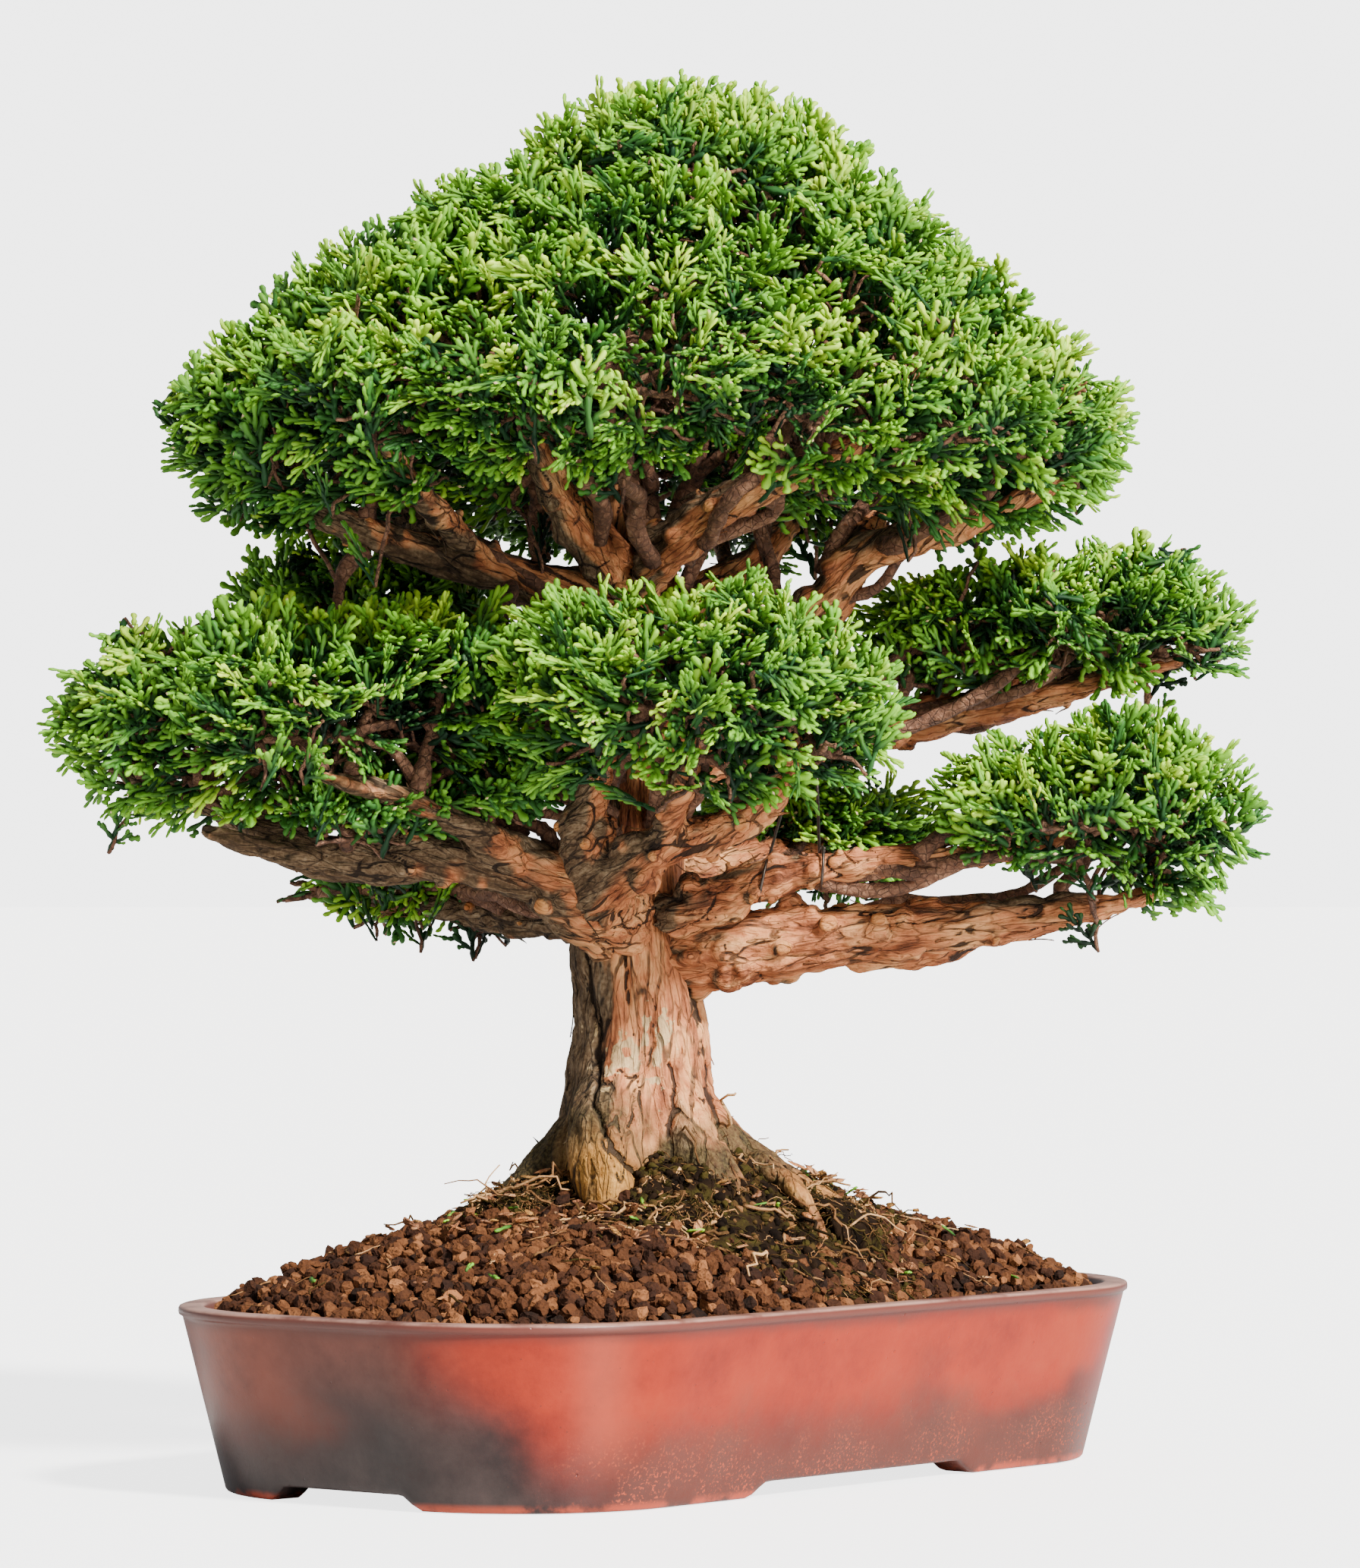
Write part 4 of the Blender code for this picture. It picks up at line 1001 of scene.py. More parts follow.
def fibre_finish():
    fibre = Finish("moss_fibre", Roughness=0.95, Specular_IOR_Level=0.1)
    tint = fibre.carried("tint")
    mottle = fibre.noise(260.0, 5.0, 0.65)
    colour = (tint + mottle * 0.5 - 0.25).ramp(
        (0.00, (0.004, 0.002, 0.001)),
        (0.22, (0.014, 0.007, 0.003)),
        (0.38, (0.040, 0.031, 0.006)),
        (0.52, (0.062, 0.032, 0.011)),
        (0.68, (0.160, 0.074, 0.028)),
        (0.84, (0.350, 0.175, 0.070)),
        (1.00, (0.560, 0.320, 0.140)),
    )
    return fibre.finished(Base_Color=colour, Normal=fibre.bump(mottle, 0.0012))


def collar(middle):
    """A quarter of the dark peaty collar at the trunk's foot, and how many points go across it."""
    across, outward = 96, 36
    bearing = np.radians(np.linspace(middle - 50, middle + 50, across))
    circle = np.column_stack([np.cos(bearing), np.sin(bearing), 0 * bearing])
    reach = collar_reach(bearing) * (1.06 + 0.16 * ripple(circle, 0.22, 300))
    depth = collar_depth(bearing)
    rings = []
    for share in np.linspace(0.0, 1.0, outward):
        far = 0.012 + (reach - 0.012) * share
        x, y = foot_x + far * np.cos(bearing), far * np.sin(bearing)
        flat = np.column_stack([x, y, ground(x, y)])
        lumps = 1.9 * ripple(flat, 0.0080, 301) + 1.5 * ripple(flat, 0.0034, 302)
        lumps = lumps + 0.8 * ripple(flat, 0.0018, 303)
        thick = depth * (1.0 - share) ** 1.1 + lumps * (1.1 - 0.5 * share) - 1.2 * share
        edge = np.abs(np.linspace(-1, 1, across)) ** 8 * 4.0
        top = flat + np.column_stack([0 * x, 0 * x, (thick - edge) * MM])
        rings.append(np.concatenate([top, (flat - (0, 0, 0.008))[::-1]]))
    return stacked(rings), across


def crooked(starts, heading, length, stations, crook, random):
    """Routes of rootlets that wander as they grow."""
    steps = np.cumsum(random.normal(0, crook, (len(starts), stations, 3)), 1)
    steps -= steps[:, :1]
    t = np.linspace(0, 1, stations)[None, :, None]
    return starts[:, None] + (heading[:, None] * t + steps / stations**0.5) * length[:, None, None]


def root_fibres(points, up, cushion_top, peat_top, kind, random):
    """Thin crooked fibres that start on the moss or the peat and hang to the ground, with their tints."""
    count, shortest, longest, thin, thick, pale = kind
    from_cushion = random.uniform(size=count) < 0.3
    roots = np.where(from_cushion, random.choice(cushion_top, count), random.choice(peat_top, count))
    heading = random.normal(size=(count, 3))
    heading -= 0.9 * (heading * up[roots]).sum(1, keepdims=True) * up[roots]
    heading = unit(heading + 0.16 * up[roots])
    length = random.uniform(shortest, longest, count) * MM
    routes = crooked(points[roots], heading, length, root_stations, 0.22, random)
    floor_level = ground(routes[:, :, 0].ravel(), routes[:, :, 1].ravel()).reshape(count, root_stations)
    t = np.linspace(0, 1, root_stations)
    hanging = routes[:, :, 2] - (t**2)[None] * (0.35 * length)[:, None]
    routes[:, :, 2] = np.maximum(hanging, floor_level + 1.5 * MM)
    radii = random.uniform(thin, thick, count)[:, None] * MM * (1 - 0.55 * t)[None]
    tint = np.clip(random.normal(pale, 0.2, count), 0.03, 1.0)
    return (*tubes(routes, radii, 4), np.repeat(tint, 4 * root_stations))


def peat_crumbs(points, peat_top, random):
    """Small crumbs that lie on the peat, with their tints."""
    shapes, loops = grain_shapes(10, random)
    turns = random_turns(crumb_count, random)
    size = random.uniform(0.7, 2.3, crumb_count) * MM
    kinds = random.randint(0, 10, crumb_count)
    middles = points[random.choice(peat_top, crumb_count)]
    tint = np.clip(random.normal(0.30, 0.20, crumb_count), 0.02, 0.80)
    body = copies(shapes, loops, kinds, size[:, None, None], turns, middles)
    return (*body, np.repeat(tint, len(shapes[0])))


def moss_patch(name, middle, random):
    """A lumpy moss cushion on its part of the collar, with root fibres over both."""
    shape = bmesh.new()
    shape.from_mesh(nodes[name].data)
    bmesh.ops.remove_doubles(shape, verts=shape.verts, dist=weld_distance)
    mesh = bpy.data.meshes.new(name)
    shape.to_mesh(mesh)
    shape.free()
    skin = Skin(*remeshed(name, mesh, moss_grid))
    normals = skin.normals()
    lump = 0.9 * ripple(skin.points, 0.0042, 31) + 0.7 * ripple(skin.points, 0.0019, 32)
    cushion = skin.points + normals * (lump * MM)[:, None]
    peat, across = collar(middle)
    points, loops, totals = together((cushion, skin.quads.ravel(), np.full(len(skin.quads), 4)), peat)
    lump = np.concatenate([lump, ripple(peat[0], 0.004, 33)])
    green = np.clip(ripple(points, 0.013, 34) * 2.0 + 0.2, 0, 1)
    tint = np.clip(0.14 + 0.15 * lump + 0.16 * green, 0.0, 0.46)
    up = np.concatenate([normals, np.tile((0.0, 0.0, 1.0), (len(peat[0]), 1))])
    peat_top = len(cushion) + np.arange(len(peat[0])).reshape(-1, 2 * across)[:, :across].ravel()
    cushion_top = np.flatnonzero(normals[:, 2] > -0.2)
    fibres = [root_fibres(points, up, cushion_top, peat_top, kind, random) for kind in fibre_kinds]
    crumbs = peat_crumbs(points, peat_top, random)
    *body, tint = together((points, loops, totals, tint), *fibres, crumbs)
    return solid(name + "_tuft", *body, fibre_look, shades={"tint": tint})


fibre_look = fibre_finish()
for name, middle in (("left", 190), ("front", 278), ("right", 6), ("back", 98)):
    patch = moss_patch("moss_" + name, middle, np.random.RandomState(41 + middle))
    piece(patch, "moss_fibre", "moss_" + name)

# ---------------------------------------------------------------- the foliage
# Flat fans of blunt scale-leaved fingers, as hinoki cypress grows them: yellow-green at the tips, blue-green
# behind, bare and brown at the base. Each tier is many such fans on fine twigs that fork from its limb.

fan_length = 25.0 * MM
finger_half_width, finger_half_depth = 1.02 * MM, 0.55 * MM
finger_stations = np.array([0.0, 0.28, 0.52, 0.78, 0.95])
finger_breadth = np.array([0.55, 1.10, 0.68, 1.14, 0.78])
tan_tint, twig_tint = 0.985, 0.93
cut_face = (9.0, 0.5)  # marks a snipped tip; a tint past 1 is set to tan later

# One fan's fingers: start x, start y, angle in degrees, length, age at the start and at the tip.
fan_plan = [
    (0, 0, 0, 10, 0.0, 0.30),
    (8, 0, 3, 9, 0.25, 0.55),
    (16, 0.4, -2, 8, 0.5, 0.95),
    (4.5, 0, 50, 9, 0.2, 0.6),
    (7.5, 3.5, 18, 5.5, 0.45, 0.95),
    (9.2, 5.6, 75, 4.5, 0.5, 0.95),
    (6, 1.8, 95, 3.5, 0.4, 0.8),
    (7.5, 0, -46, 9.5, 0.25, 0.7),
    (10.5, -3.1, -12, 5.5, 0.5, 0.95),
    (12.2, -4.9, -78, 4.2, 0.5, 0.95),
    (11.5, 0.1, 44, 8.5, 0.35, 0.85),
    (14.5, 3, 14, 5, 0.55, 1.0),
    (15.6, 4.1, 72, 3.6, 0.55, 1.0),
    (14.5, 0.3, -42, 7.5, 0.4, 0.9),
    (17, -2, -8, 4.6, 0.6, 1.0),
    (18, 0.4, 38, 6.5, 0.5, 1.0),
    (20, 0.3, -34, 5.6, 0.55, 1.0),
    (21.5, 0.3, 20, 4.6, 0.6, 1.0),
]


def foliage_finish():
    """Colour depends only on the fan's own map: across it the tint, up it the age along each finger."""
    leaf = Finish("foliage", IOR=1.42, Specular_IOR_Level=0.3)
    spot = leaf.node("UVMap", {"uv_map": "OFBake"}, {})
    tint, age = spot.part("X"), spot.part("Y")
    old = tint.ramp(
        (0.00, (0.002, 0.008, 0.004)),
        (0.30, (0.005, 0.028, 0.010)),
        (0.60, (0.015, 0.074, 0.015)),
        (0.86, (0.048, 0.150, 0.014)),
        (0.90, (0.090, 0.036, 0.018)),
        (0.95, (0.150, 0.060, 0.030)),
        (0.97, (0.560, 0.370, 0.190)),
        (1.00, (0.660, 0.480, 0.280)),
    )
    young = tint.ramp(
        (0.00, (0.006, 0.024, 0.009)),
        (0.30, (0.038, 0.160, 0.018)),
        (0.60, (0.220, 0.520, 0.024)),
        (0.86, (0.640, 0.880, 0.045)),
        (0.90, (0.130, 0.055, 0.026)),
        (0.95, (0.240, 0.105, 0.050)),
        (0.97, (0.620, 0.430, 0.230)),
        (1.00, (0.740, 0.570, 0.350)),
    )
    colour = leaf.blend(old, young, age.step(0.26, 0.98))
    return leaf.finished(Base_Color=colour, Roughness=0.62 - age * 0.14)


def fan_shape(random, plan=fan_plan):
    """One fan lying flat, grown along X: points, corners, face sizes and its map."""
    points, loops, totals, palette = [], [], [], []
    for number, (x, y, angle, length, old, young) in enumerate(plan):
        if number > 2 and random.uniform() < 0.06:
            continue
        angle = math.radians(angle + random.normal(0, 5))
        length = length * random.uniform(0.85, 1.2) * MM
        start = np.array([x, y, random.normal(0, 0.25)]) * MM
        pitch = random.normal(0, 0.14)
        ahead = np.array([math.cos(angle), math.sin(angle), pitch])
        across = np.array([-math.sin(angle), math.cos(angle), random.normal(0, 0.3)])
        up = unit(np.cross(ahead, across))
        cut = number > 2 and random.uniform() < 0.055
        stations = finger_stations * (0.62 if cut else 1.0)
        breadth = finger_breadth * random.uniform(0.88, 1.12)
        bend = (random.normal(0, 0.10) - math.copysign(0.13, angle)) * length
        centre = start + ahead * (stations * length)[:, None] + across * (bend * stations**2)[:, None]
        tint_shift = random.normal(0, 0.05)
        first = len(points)
        rings = len(stations)
        for s in range(rings):
            for side in range(4):
                turn = side * math.pi / 2
                wide = math.cos(turn) * finger_half_width * breadth[s]
                deep = math.sin(turn) * finger_half_depth * breadth[s]
                points.append(centre[s] + across * wide + up * deep)
        points.append(centre[-1] + ahead * (0.0002 if cut else 0.05 * length))
        ages = old + (young - old) * np.append(stations, 1.0)
        for s in range(rings - 1):
            for k in range(4):
                low, high = first + 4 * s, first + 4 * (s + 1)
                loops += [low + k, low + (k + 1) % 4, high + (k + 1) % 4, high + k]
                totals.append(4)
                palette += [(tint_shift, ages[s])] * 2 + [(tint_shift, ages[s + 1])] * 2
        tip = first + 4 * rings
        for k in range(4):
            loops += [tip - 4 + k, tip - 4 + (k + 1) % 4, tip]
            totals.append(3)
            palette += [cut_face] * 3 if cut else [(tint_shift, ages[-2])] * 2 + [(tint_shift, ages[-1])]
        loops += [first + 3, first + 2, first + 1, first]
        totals.append(4)
        palette += [(tint_shift, ages[0])] * 4
    return np.array(points), np.array(loops), np.array(totals), np.array(palette)


def scattered(name, spacing, random, sink):
    """Points spread evenly over a node's surface, with the surface's normals."""
    mesh = nodes[name].data
    mesh.calc_loop_triangles()
    places = np.array([vertex.co for vertex in mesh.vertices])
    corners = places[np.array([tri.vertices for tri in mesh.loop_triangles])]
    cross = np.cross(corners[:, 1] - corners[:, 0], corners[:, 2] - corners[:, 0])
    area = np.linalg.norm(cross, axis=1) / 2
    tries = int(area.sum() / spacing**2 * 7)
    which = random.choice(len(area), tries, p=area / area.sum())
    share = random.dirichlet((1, 1, 1), tries)
    spots = (corners[which] * share[:, :, None]).sum(1)
    normals = unit(cross[which])
    kept, grid = [], {}
    for i in range(tries):
        cell = tuple((spots[i] // spacing).astype(int))
        close = False
        for dx in (-1, 0, 1):
            for dy in (-1, 0, 1):
                for dz in (-1, 0, 1):
                    for j in grid.get((cell[0] + dx, cell[1] + dy, cell[2] + dz), ()):
                        if ((spots[i] - spots[j]) ** 2).sum() < spacing**2:
                            close = True
        if not close:
            kept.append(i)
            grid.setdefault(cell, []).append(i)
    return spots[kept] - normals[kept] * sink, normals[kept]


def is_inside(tree, spot):
    """Whether a point is within a closed surface: a ray from it crosses that an odd number of times."""
    ahead = Vector((0.31, 0.17, 0.93))
    start, crossings = Vector(spot), 0
    while crossings < 12:
        where = tree.ray_cast(start, ahead)[0]
        if where is None:
            break
        crossings += 1
        start = where + ahead * 1e-5
    return crossings % 2 == 1


# Loose tufts that close the tiers' thin places: middle, half size and how many fans, in millimetres.
fillers = {
    "left_pad": (
        ((-52, -48, 232), (18, 24, 14), 42),
        ((-62, -20, 250), (22, 20, 14), 24),
        ((-94, -50, 223), (34, 22, 6), 56),
    ),
    "front_pad": (((-38, -78, 238), (14, 26, 12), 22),),
    "back_right_pad": (((40, 78, 222), (34, 26, 16), 50),),
}


# The layers of fans in a tier: how far apart they are, how deep under its skin, and how dim (partly painted
# shade).
fan_layers = ((7.6 * MM, 1.0 * MM, 0.0), (12.0 * MM, 12 * MM, 1.0), (17.0 * MM, 24 * MM, 1.4))


def fans_for(name, others, random):
    """Where the fans of one tier grow: roots, directions, plane normals, scales and tints."""
    crown = name.startswith("crown")
    low, high = (np.array(corner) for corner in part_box(name))
    centre = np.array([0.002, 0.0, 0.335]) if crown else (low + high) / 2 - (0, 0, 0.3 * (high[2] - low[2]))
    found = []
    for spacing, sink, dim in fan_layers:
        spots, normals = scattered(name, spacing, random, sink)
        for spot, normal in zip(spots, normals):
            reach = spot + normal * (4 * MM + sink)
            hollow = not dim and ripple(spot[None], 0.013, 95)[0] > 0.42
            if hollow or normal[2] < -0.35 and random.uniform() < 0.55:
                continue
            if any(is_inside(other, reach) for other in others):
                continue
            if wood_tree.find_nearest(Vector(spot + normal * 3 * MM))[3] < 3.5 * MM:
                continue
            found.append((*spot, *normal, dim))
    for middle, size, count in fillers.get(name, ()):
        for _ in range(count):
            outward = unit(random.normal(size=3))
            spot = (np.array(middle) + outward * size * random.uniform(0.5, 1.0)) * MM
            found.append((*spot, *outward, 0.5))
    found = np.array(found)
    spots, normals, dim = found[:, :3], found[:, 3:6], found[:, 6]
    count = len(spots)
    outward = unit((spots - centre) * (1.0, 1.0, 0.75))
    growth = 0.5 * outward + 0.45 * normals + 0.50 * random.normal(size=(count, 3))
    growth[:, 2] += 0.28
    under = normals[:, 2] < -0.25
    growth[under] = (outward * (1, 1, 0.2) + 0.25 * normals + 0.35 * random.normal(size=(count, 3)))[under]
    growth = unit(growth)
    facing = 0.75 * np.array([0, 0, 1.0]) + 0.45 * normals + 0.38 * random.normal(size=(count, 3))
    facing -= (facing * growth).sum(1, keepdims=True) * growth
    facing = unit(facing)
    scale = random.uniform(0.8, 1.18, count)
    roots = spots - growth * (0.70 * fan_length * scale)[:, None]
    # Tints rise where a fan faces up, a painted light, and drop in the dim inner layers: painted shade and
    # older foliage.
    tint = 0.51 + 0.15 * ripple(spots, 0.026, 91) + 0.10 * random.normal(size=count)
    tint += 0.07 * normals[:, 2] - 0.26 * dim + 0.09 * (random.uniform(size=count) < 0.08)
    brown = random.uniform(size=count) < 0.005
    tint = np.where(brown, twig_tint, np.clip(tint, 0.02, 0.80))
    scale = np.where(brown, 0.6 * scale, scale)
    return roots, growth, facing, scale, tint


def grown_fans(name, shapes, roots, growth, facing, scale, tint, random):
    """One mesh of all the fans of a tier."""
    kinds = random.randint(0, len(shapes), len(roots))
    gathered = []
    for kind, (points, loops, totals, palette) in enumerate(shapes):
        which = np.flatnonzero(kinds == kind)
        if not len(which):
            continue
        curl = random.normal(-0.06, 0.12, len(which))
        cup = random.normal(0.0, 0.16, len(which))
        mirror = random.choice((-1.0, 1.0), len(which))
        reach = points[:, 0] / fan_length
        local = np.repeat(points[None], len(which), 0)
        bend = curl[:, None] * reach**2 + cup[:, None] * (points[:, 1] / fan_length) ** 2 * 2
        local[:, :, 2] += fan_length * bend
        side = np.cross(facing[which], growth[which]) * mirror[:, None]
        axes = np.stack([growth[which], side, facing[which]], 1) * scale[which][:, None, None]
        placed = np.einsum("nvi,nij->nvj", local, axes) + roots[which][:, None]
        offsets = np.arange(len(which))[:, None] * len(points)
        tinted = np.repeat(palette[None], len(which), 0)
        fixed = tinted[:, :, 0] > 1.0
        leaf = tint[which][:, None] + tinted[:, :, 0]
        leaf = np.where(tint[which][:, None] > 0.9, twig_tint, np.clip(leaf, 0.01, 0.86))
        tinted[:, :, 0] = np.where(fixed, tan_tint, leaf)
        tinted[:, :, 1] = 0.02 + 0.96 * tinted[:, :, 1]
        body = (placed.reshape(-1, 3), (offsets + loops).ravel(), np.tile(totals, len(which)))
        gathered.append((*body, tinted.reshape(-1, 2)))
    *body, palette = together(*gathered)
    return solid(name, *body, leaf_look, palette=palette)


def twig_finish():
    twig = Finish("twig_bark", Roughness=0.8)
    scale = twig.noise(380.0, 4.0, 0.65)
    patch = twig.noise(70.0, 3.0)
    crease = 1.0 - twig.cells(300.0, feature="DISTANCE_TO_EDGE").step(0.0, 0.07)
    colour = (scale * 0.75 + patch * 0.55 - 0.15).ramp(
        (0.30, (0.030, 0.012, 0.006)),
        (0.50, (0.150, 0.062, 0.030)),
        (0.70, (0.380, 0.190, 0.105)),
    )
    colour = twig.blend(colour, (0.018, 0.008, 0.004), crease * scale.step(0.40, 0.62) * 0.7)
    return twig.finished(Base_Color=colour, Normal=twig.bump(scale * 1.6 - crease * 0.4, 0.0010))


def curved(first, last, rise, random, stations, crook):
    """Crooked routes between pairs of points: a bow with smaller waves on it."""
    t = np.linspace(0, 1, stations)[None, :, None]
    span = np.linalg.norm(last - first, axis=1)[:, None, None]
    route = first[:, None] * (1 - t) + last[:, None] * t
    for waves in (1, 2, 3, 5):
        sway = random.normal(0, crook / waves**1.1, (len(first), 1, 3)) * span
        if waves == 1:
            sway[:, :, 2] += rise * span[:, :, 0]
        route = route + sway * np.sin(waves * math.pi * t)
    return route


def gathered_at(spots, share, random):
    """Splits points into bunches: each one's bunch, and the bunches' middles."""
    count = max(len(spots) // share, 3)
    middles = spots[random.choice(len(spots), count, replace=False)]
    for _ in range(6):
        nearest = np.argmin(((spots[:, None] - middles[None]) ** 2).sum(2), 1)
        sums = np.stack([np.bincount(nearest, spots[:, i], count) for i in range(3)], 1)
        held = np.bincount(nearest, minlength=count)[:, None]
        middles = np.where(held > 0, sums / np.maximum(held, 1), middles)
    return nearest, middles


def grown_twigs(name, roots, random):
    """Boughs, twigs and shoots that fork from the tier's wood to the foot of each fan."""
    bunch, hubs = gathered_at(roots, 7, random)
    group, forks = gathered_at(hubs, 5, random)
    anchors = np.array([tuple(wood_tree.find_nearest(Vector(fork))[0]) for fork in forks])
    forks = forks + 0.45 * (anchors - forks)
    hubs = hubs + 0.20 * (forks[group] - hubs)
    crown = name.startswith("crown")
    crotch = np.array([-0.004, -0.002, 0.268 if crown else np.clip(roots[:, 2].mean() - 0.03, 0.186, 0.21)])
    bough_ends = forks[::2] if crown else forks
    inward = crotch + random.uniform(0.25, 0.6, (len(bough_ends), 1)) * (bough_ends - crotch)
    feet = np.array([tuple(wood_tree.find_nearest(Vector(spot))[0]) for spot in inward])
    parts = []  # from, to, thickness at each in millimetres, sides and stations
    for first, last, thick, thin, sides, stations in (
        (anchors, forks, 3.0, 2.1, 8, 7),
        (feet, bough_ends, 3.0, 1.5, 9, 22),
        (forks[group], hubs, 1.75, 1.05, 6, 7),
        (hubs[bunch], roots, 0.85, 0.62, 4, 7),
    ):
        girth = np.linspace(thick, thin, stations)[None].repeat(len(first), 0)
        girth = girth * random.uniform(0.85, 1.18, girth.shape) * MM
        parts.append(tubes(curved(first, last, 0.05, random, stations, 0.08), girth, sides))
    return solid(name, *together(*parts), twig_look)


leaf_look, twig_look = foliage_finish(), twig_finish()
wood_tree = tree_of("trunk", *limb_names)
fan_random = np.random.RandomState(5)
fan_kinds, most_fans = 18, 280  # fans of different shape, and the most that one piece may hold
fan_shapes = [fan_shape(fan_random) for _ in range(fan_kinds)]
pad_names = [name for name in nodes if name.endswith("_pad")]
for number, name in enumerate(pad_names):
    random = np.random.RandomState(200 + number)
    low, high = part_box(name)
    others = []
    for other in pad_names:
        other_low, other_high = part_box(other)
        if other != name and all(low[i] < other_high[i] and other_low[i] < high[i] for i in range(3)):
            others.append(tree_of(other))
    fans = fans_for(name, others, random)
    roots, growth = fans[:2]
    groups = math.ceil(len(roots) / most_fans)
    order = np.argsort(-growth[:, 1] if groups > 1 else np.arange(len(roots)), kind="stable")
    for group, chosen in enumerate(np.array_split(order, groups)):
        label = f"{name}_fans" + (f"_{group + 1}" if groups > 1 else "")
        grown = grown_fans(label, fan_shapes, *(column[chosen] for column in fans), random)
        piece(grown, "foliage", name)
    piece(grown_twigs(f"{name}_twigs", roots, random), "bark", name)

# ---------------------------------------------------------------- guy wires
# Two thin dark wires pull the upper right limb down towards the strand below it, each looped round both.


def guy_wire(name, low, high, low_radius, high_radius):
    """A straight wire with a closed loop round the wood at each end."""
    low, high = np.array(low) * MM, np.array(high) * MM
    down = unit(low - high)
    side = unit(np.cross(down, (1.0, 0.2, 0.0)))
    t = np.linspace(0, 2.2 * math.pi, 26)[:, None]
    top = high + high_radius * (np.cos(t) * down + np.sin(t) * side)
    bottom = low + low_radius * (-np.cos(t) * down + np.sin(t) * side)
    route = np.concatenate([top[::-1], bottom])
    route[:, 0] += np.linspace(-0.0012, 0.0012, len(route))
    made = tubes(route[None], np.full((1, len(route)), 0.0005), 8)
    return solid(name, *made, dark_wire.material)


strand_loop, limb_loop = 7.2 * MM, 9.5 * MM
for name, low, high in (
    ("guy_wire_left", (32, -19, 197), (46, 38, 243)),
    ("guy_wire_right", (51, -20, 201), (51, 41, 244)),
):
    piece(guy_wire(name + "_loops", low, high, strand_loop, limb_loop), "wire", name)

# ---------------------------------------------------------------- litter on the soil
# Shed leaf tips, bark chips and dead rootlets that lie loose on the grains.

litter_random = np.random.RandomState(77)


def dropped(count, lift, by_collar=0.3):
    """Random places on top of the grains, by_collar of them round the edge of the dark collar."""
    spots = []
    while len(spots) < count:
        if litter_random.uniform() < by_collar:
            bearing = litter_random.uniform(0, 2 * math.pi)
            far = collar_reach(bearing) * litter_random.uniform(0.55, 1.35)
            x, y = far * math.cos(bearing) + foot_x, far * math.sin(bearing)
        else:
            x, y = litter_random.uniform(-0.13, 0.13), litter_random.uniform(-0.15, 0.15)
        level = float(ground(np.array(x), np.array(y)))
        to_collar = float(collar_share(np.array(x), np.array(y)))
        if level > soil_edge + 2 * MM and to_collar > 0.55:
            rise = float(collar_depth(math.atan2(y, x - foot_x))) * MM * max(1.0 - to_collar, 0)
            spots.append((x, y, level + lift + rise))
    return np.array(spots)


def lying(count, tilt=0.25):
    """Directions that lie flat, give or take, and the way up."""
    ahead = unit(litter_random.normal(size=(count, 3)) * (1, 1, tilt))
    up = np.array([0, 0, 1.0]) + tilt * litter_random.normal(size=(count, 3))
    up -= (up * ahead).sum(1, keepdims=True) * ahead
    return ahead, unit(up)


leaf_plan = [(0, 0, 0, 7, 0.4, 0.9), (2.5, 0, 42, 4.5, 0.5, 1.0), (3.5, 0, -40, 4.0, 0.5, 1.0)]
leaf_bits = [fan_shape(litter_random, leaf_plan[: 1 + number % 3]) for number in range(6)]
bits = 64
ahead, up = lying(bits)
tints = np.where(litter_random.uniform(size=bits) < 0.6, litter_random.uniform(0.35, 0.72, bits), 0.93)
leaves = grown_fans(
    "fallen_leaf_tips", leaf_bits, dropped(bits, 0.0032), ahead, up,
    litter_random.uniform(0.55, 1.0, bits), tints, litter_random,
)
piece(leaves, "foliage")

chips, chip_kinds, chip_size = 170, 8, np.array([5.0, 2.0, 0.6])
shapes, chip_loops = grain_shapes(chip_kinds, litter_random)
ahead, up = lying(chips, 0.3)
axes = np.stack([ahead, np.cross(up, ahead), up], 1)
sizes = litter_random.uniform(0.45, 1.0, (chips, 1)) * chip_size * MM
kinds = litter_random.randint(0, chip_kinds, chips)
body = copies(shapes, chip_loops, kinds, sizes[:, None], axes, dropped(chips, 0.0046, 0.75))
shade = np.repeat(litter_random.uniform(size=chips), len(shapes[0]))
none = np.zeros(len(shade))
chip_shades = dict(zip(bark_shades, (none, shade, none, none, 0.5 * (shade > 0.8), 0.8 * (shade < 0.3))))
chip_shades["run"] = body[0]
piece(solid("bark_chips", *body, bark_look, shades=chip_shades), "bark")

# Two sorts of rootlet: how many, shortest and longest, thinnest and thickest, and the share by the collar.
rootlet_kinds = ((120, 5, 17, 0.2, 0.45, 0.5), (34, 12, 28, 0.4, 0.85, 0.9))
rootlet_sides, rods = 5, []
for threads, shortest, longest, thin, thick, by_collar in rootlet_kinds:
    ahead, _ = lying(threads, 0.12)
    length = litter_random.uniform(shortest, longest, threads) * MM
    starts = dropped(threads, 0.0026, by_collar)
    routes = crooked(starts, ahead, length, root_stations, 0.13, litter_random)
    levels = ground(routes[:, :, 0].ravel(), routes[:, :, 1].ravel()).reshape(threads, root_stations)
    rise = 0.4 * (routes[:, :, 2] - routes[:, :1, 2])
    routes[:, :, 2] = np.maximum(levels, soil_edge + 2 * MM) + 2.6 * MM + rise
    taper = np.linspace(1, 0.45, root_stations)
    thickness = litter_random.uniform(thin, thick, threads)[:, None] * taper[None] * MM
    rods.append(tubes(routes, thickness, rootlet_sides))
threads = sum(kind[0] for kind in rootlet_kinds)
tint = np.clip(litter_random.normal(0.72, 0.16, threads), 0.25, 1.0)
tint = np.repeat(tint, rootlet_sides * root_stations)
piece(solid("rootlets", *together(*rods), fibre_look, shades={"tint": tint}), "moss_fibre")

# ---------------------------------------------------------------- floor, light and camera
# A plain pale floor under an even pale sky, a soft sun from the front right and a low square lamp below it.
# The camera stands level with the lowest limbs and looks slightly up.

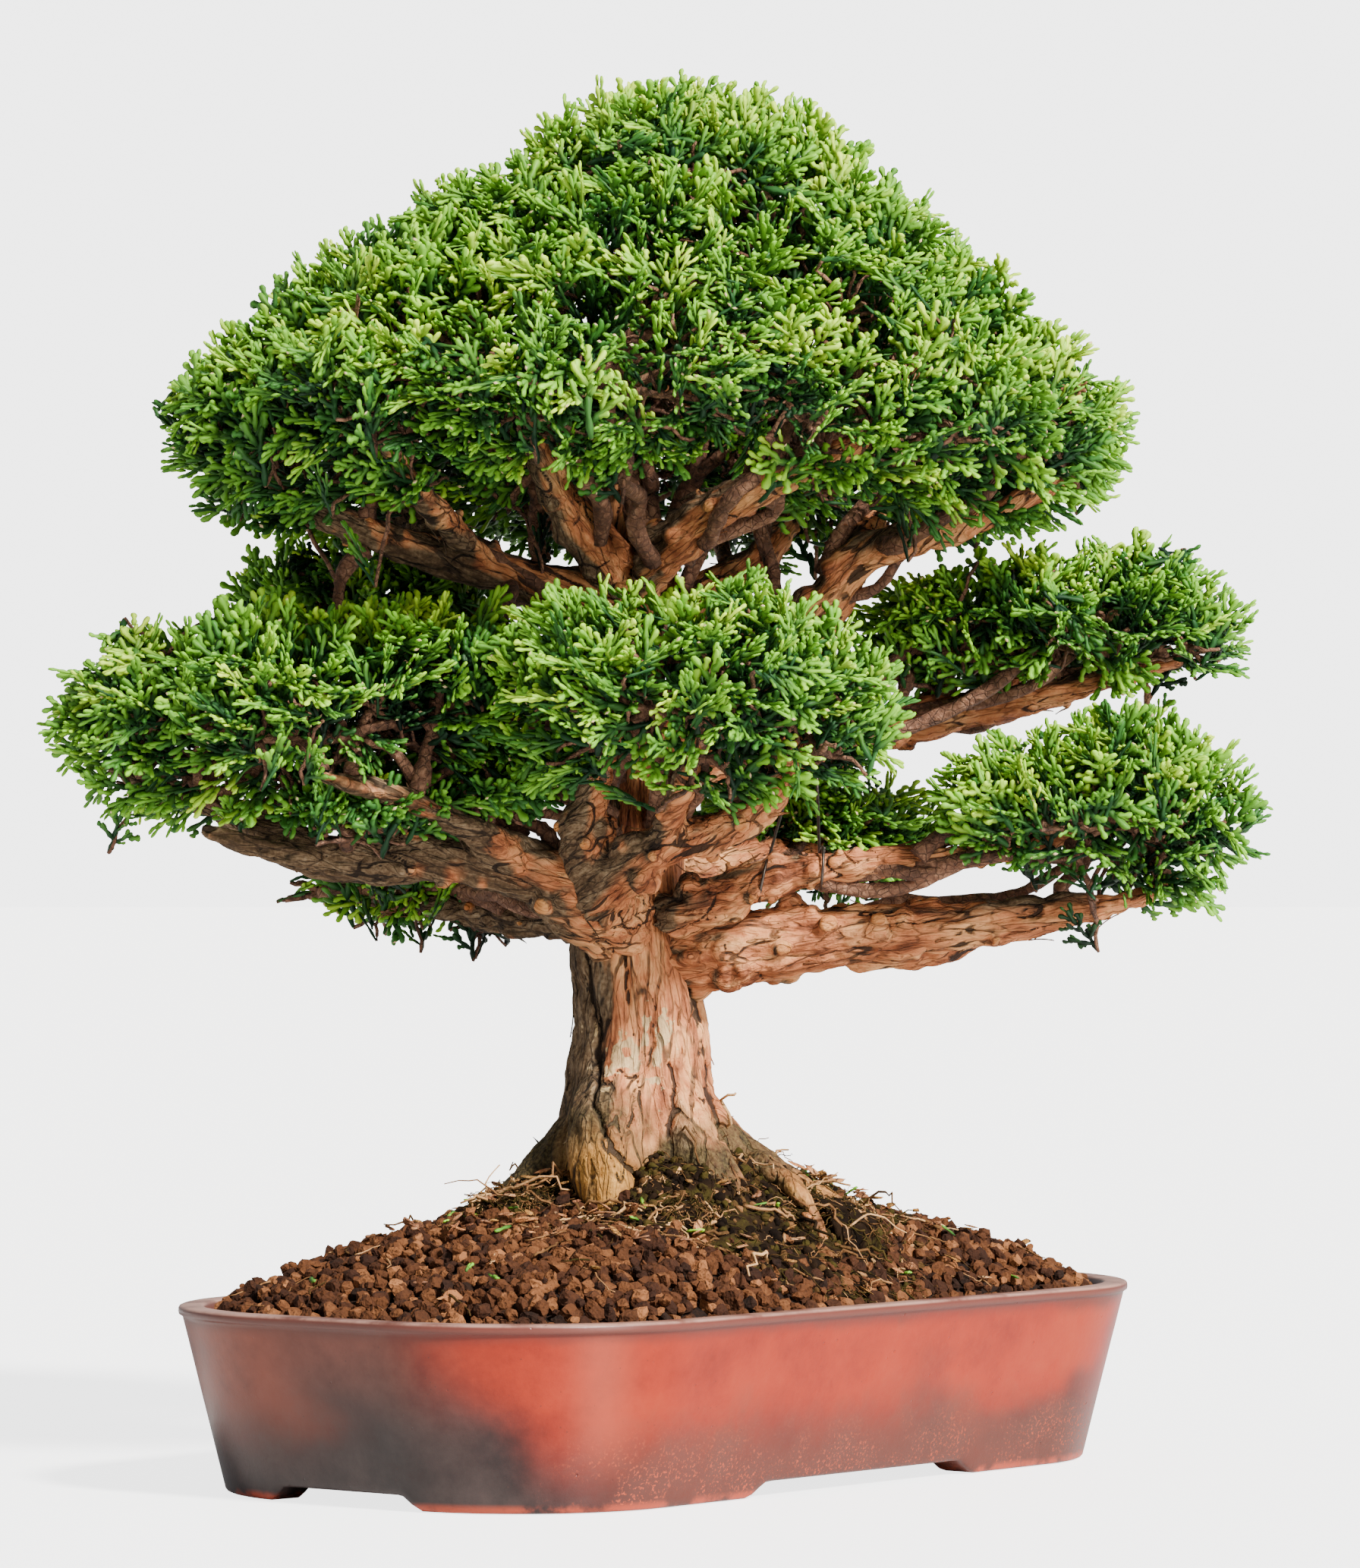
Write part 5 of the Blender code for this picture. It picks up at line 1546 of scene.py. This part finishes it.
floor_level, floor_size = -0.3 * MM, 40.0
floor_glow, sky_light, sky_glow = 2.9, 0.48, 5.2  # the glows are what the camera alone meets
floor_colour, sky_colour = (0.80, 0.80, 0.80, 1.0), (0.94, 0.97, 1.0, 1.0)
lens, camera_place, camera_tilt = 166.39, (0.00483, -2.41624, 0.21073), 90.434


def plane(name, size, location, finish):
    """A flat square that lies level."""
    half = size / 2
    corners = np.array([(-half, -half, 0), (half, -half, 0), (half, half, 0), (-half, half, 0)]) + location
    return solid(name, corners, np.arange(4), [4], finish)


def lit_for_camera(finish, look, glow, output):
    """Adds a glow that only the camera meets, so that pale paper stays white and throws no extra light."""
    seen = finish.node("LightPath", {}, {}, "Is Camera Ray")
    either = finish.node("MixShader", {}, {0: seen, 1: look, 2: glow})
    finish.put(finish.tree.nodes[output], {"Surface": either})


class Sky(Finish):
    """The surroundings, made with the same helpers as a finish."""

    def __init__(self, world):
        world.use_nodes = True
        self.tree = world.node_tree


floor_look = Finish("floor", Base_Color=floor_colour, Roughness=0.45)
matt = Shade(floor_look, floor_look.shader.outputs[0])
paper_glow = floor_look.node("Emission", {}, {"Strength": floor_glow})
both = floor_look.node("AddShader", {}, {0: matt, 1: paper_glow})
lit_for_camera(floor_look, matt, both, "Material Output")
floor = plane("floor", floor_size, (0.0, 0.0, floor_level), floor_look.material)

world = bpy.data.worlds.new("studio")
bpy.context.scene.world = world
sky = Sky(world)
surround = sky.tree.nodes["Background"]
sky.put(surround, {"Color": sky_colour, "Strength": sky_light})
paper = sky.node("Background", {}, {"Strength": sky_glow})
lit_for_camera(sky, Shade(sky, surround.outputs[0]), paper, "World Output")


def soft_light(name, kind, place, aim, size, power, colour):
    """A lamp at a place, aimed at another; a sun's size is in degrees and a square lamp's in metres."""
    light = bpy.data.lights.new(name, kind)
    light.energy, light.color = power, colour
    if kind == "SUN":
        light.angle = math.radians(size)
    else:
        light.shape, light.size = "SQUARE", size
    lamp = bpy.data.objects.new(name, light)
    bpy.context.scene.collection.objects.link(lamp)
    lamp.location = place
    lamp.rotation_euler = (Vector(aim) - Vector(place)).to_track_quat("-Z", "Y").to_euler()


soft_light("key", "SUN", (1.34, -1.48, 1.75), (0.0, 0.0, 0.2), 8.0, 10.5, (1.0, 0.97, 0.92))
soft_light("low", "AREA", (1.27, -1.41, 0.30), (0.0, 0.0, 0.05), 0.5, 12.0, (1.0, 0.98, 0.95))

camera_data = bpy.data.cameras.new("camera")
camera_data.lens = lens
camera_data.clip_start, camera_data.clip_end = 0.05, 60.0
camera = bpy.data.objects.new("camera", camera_data)
bpy.context.scene.collection.objects.link(camera)
camera.location = camera_place
camera.rotation_euler = (math.radians(camera_tilt), 0.0, 0.0)
bpy.context.scene.camera = camera
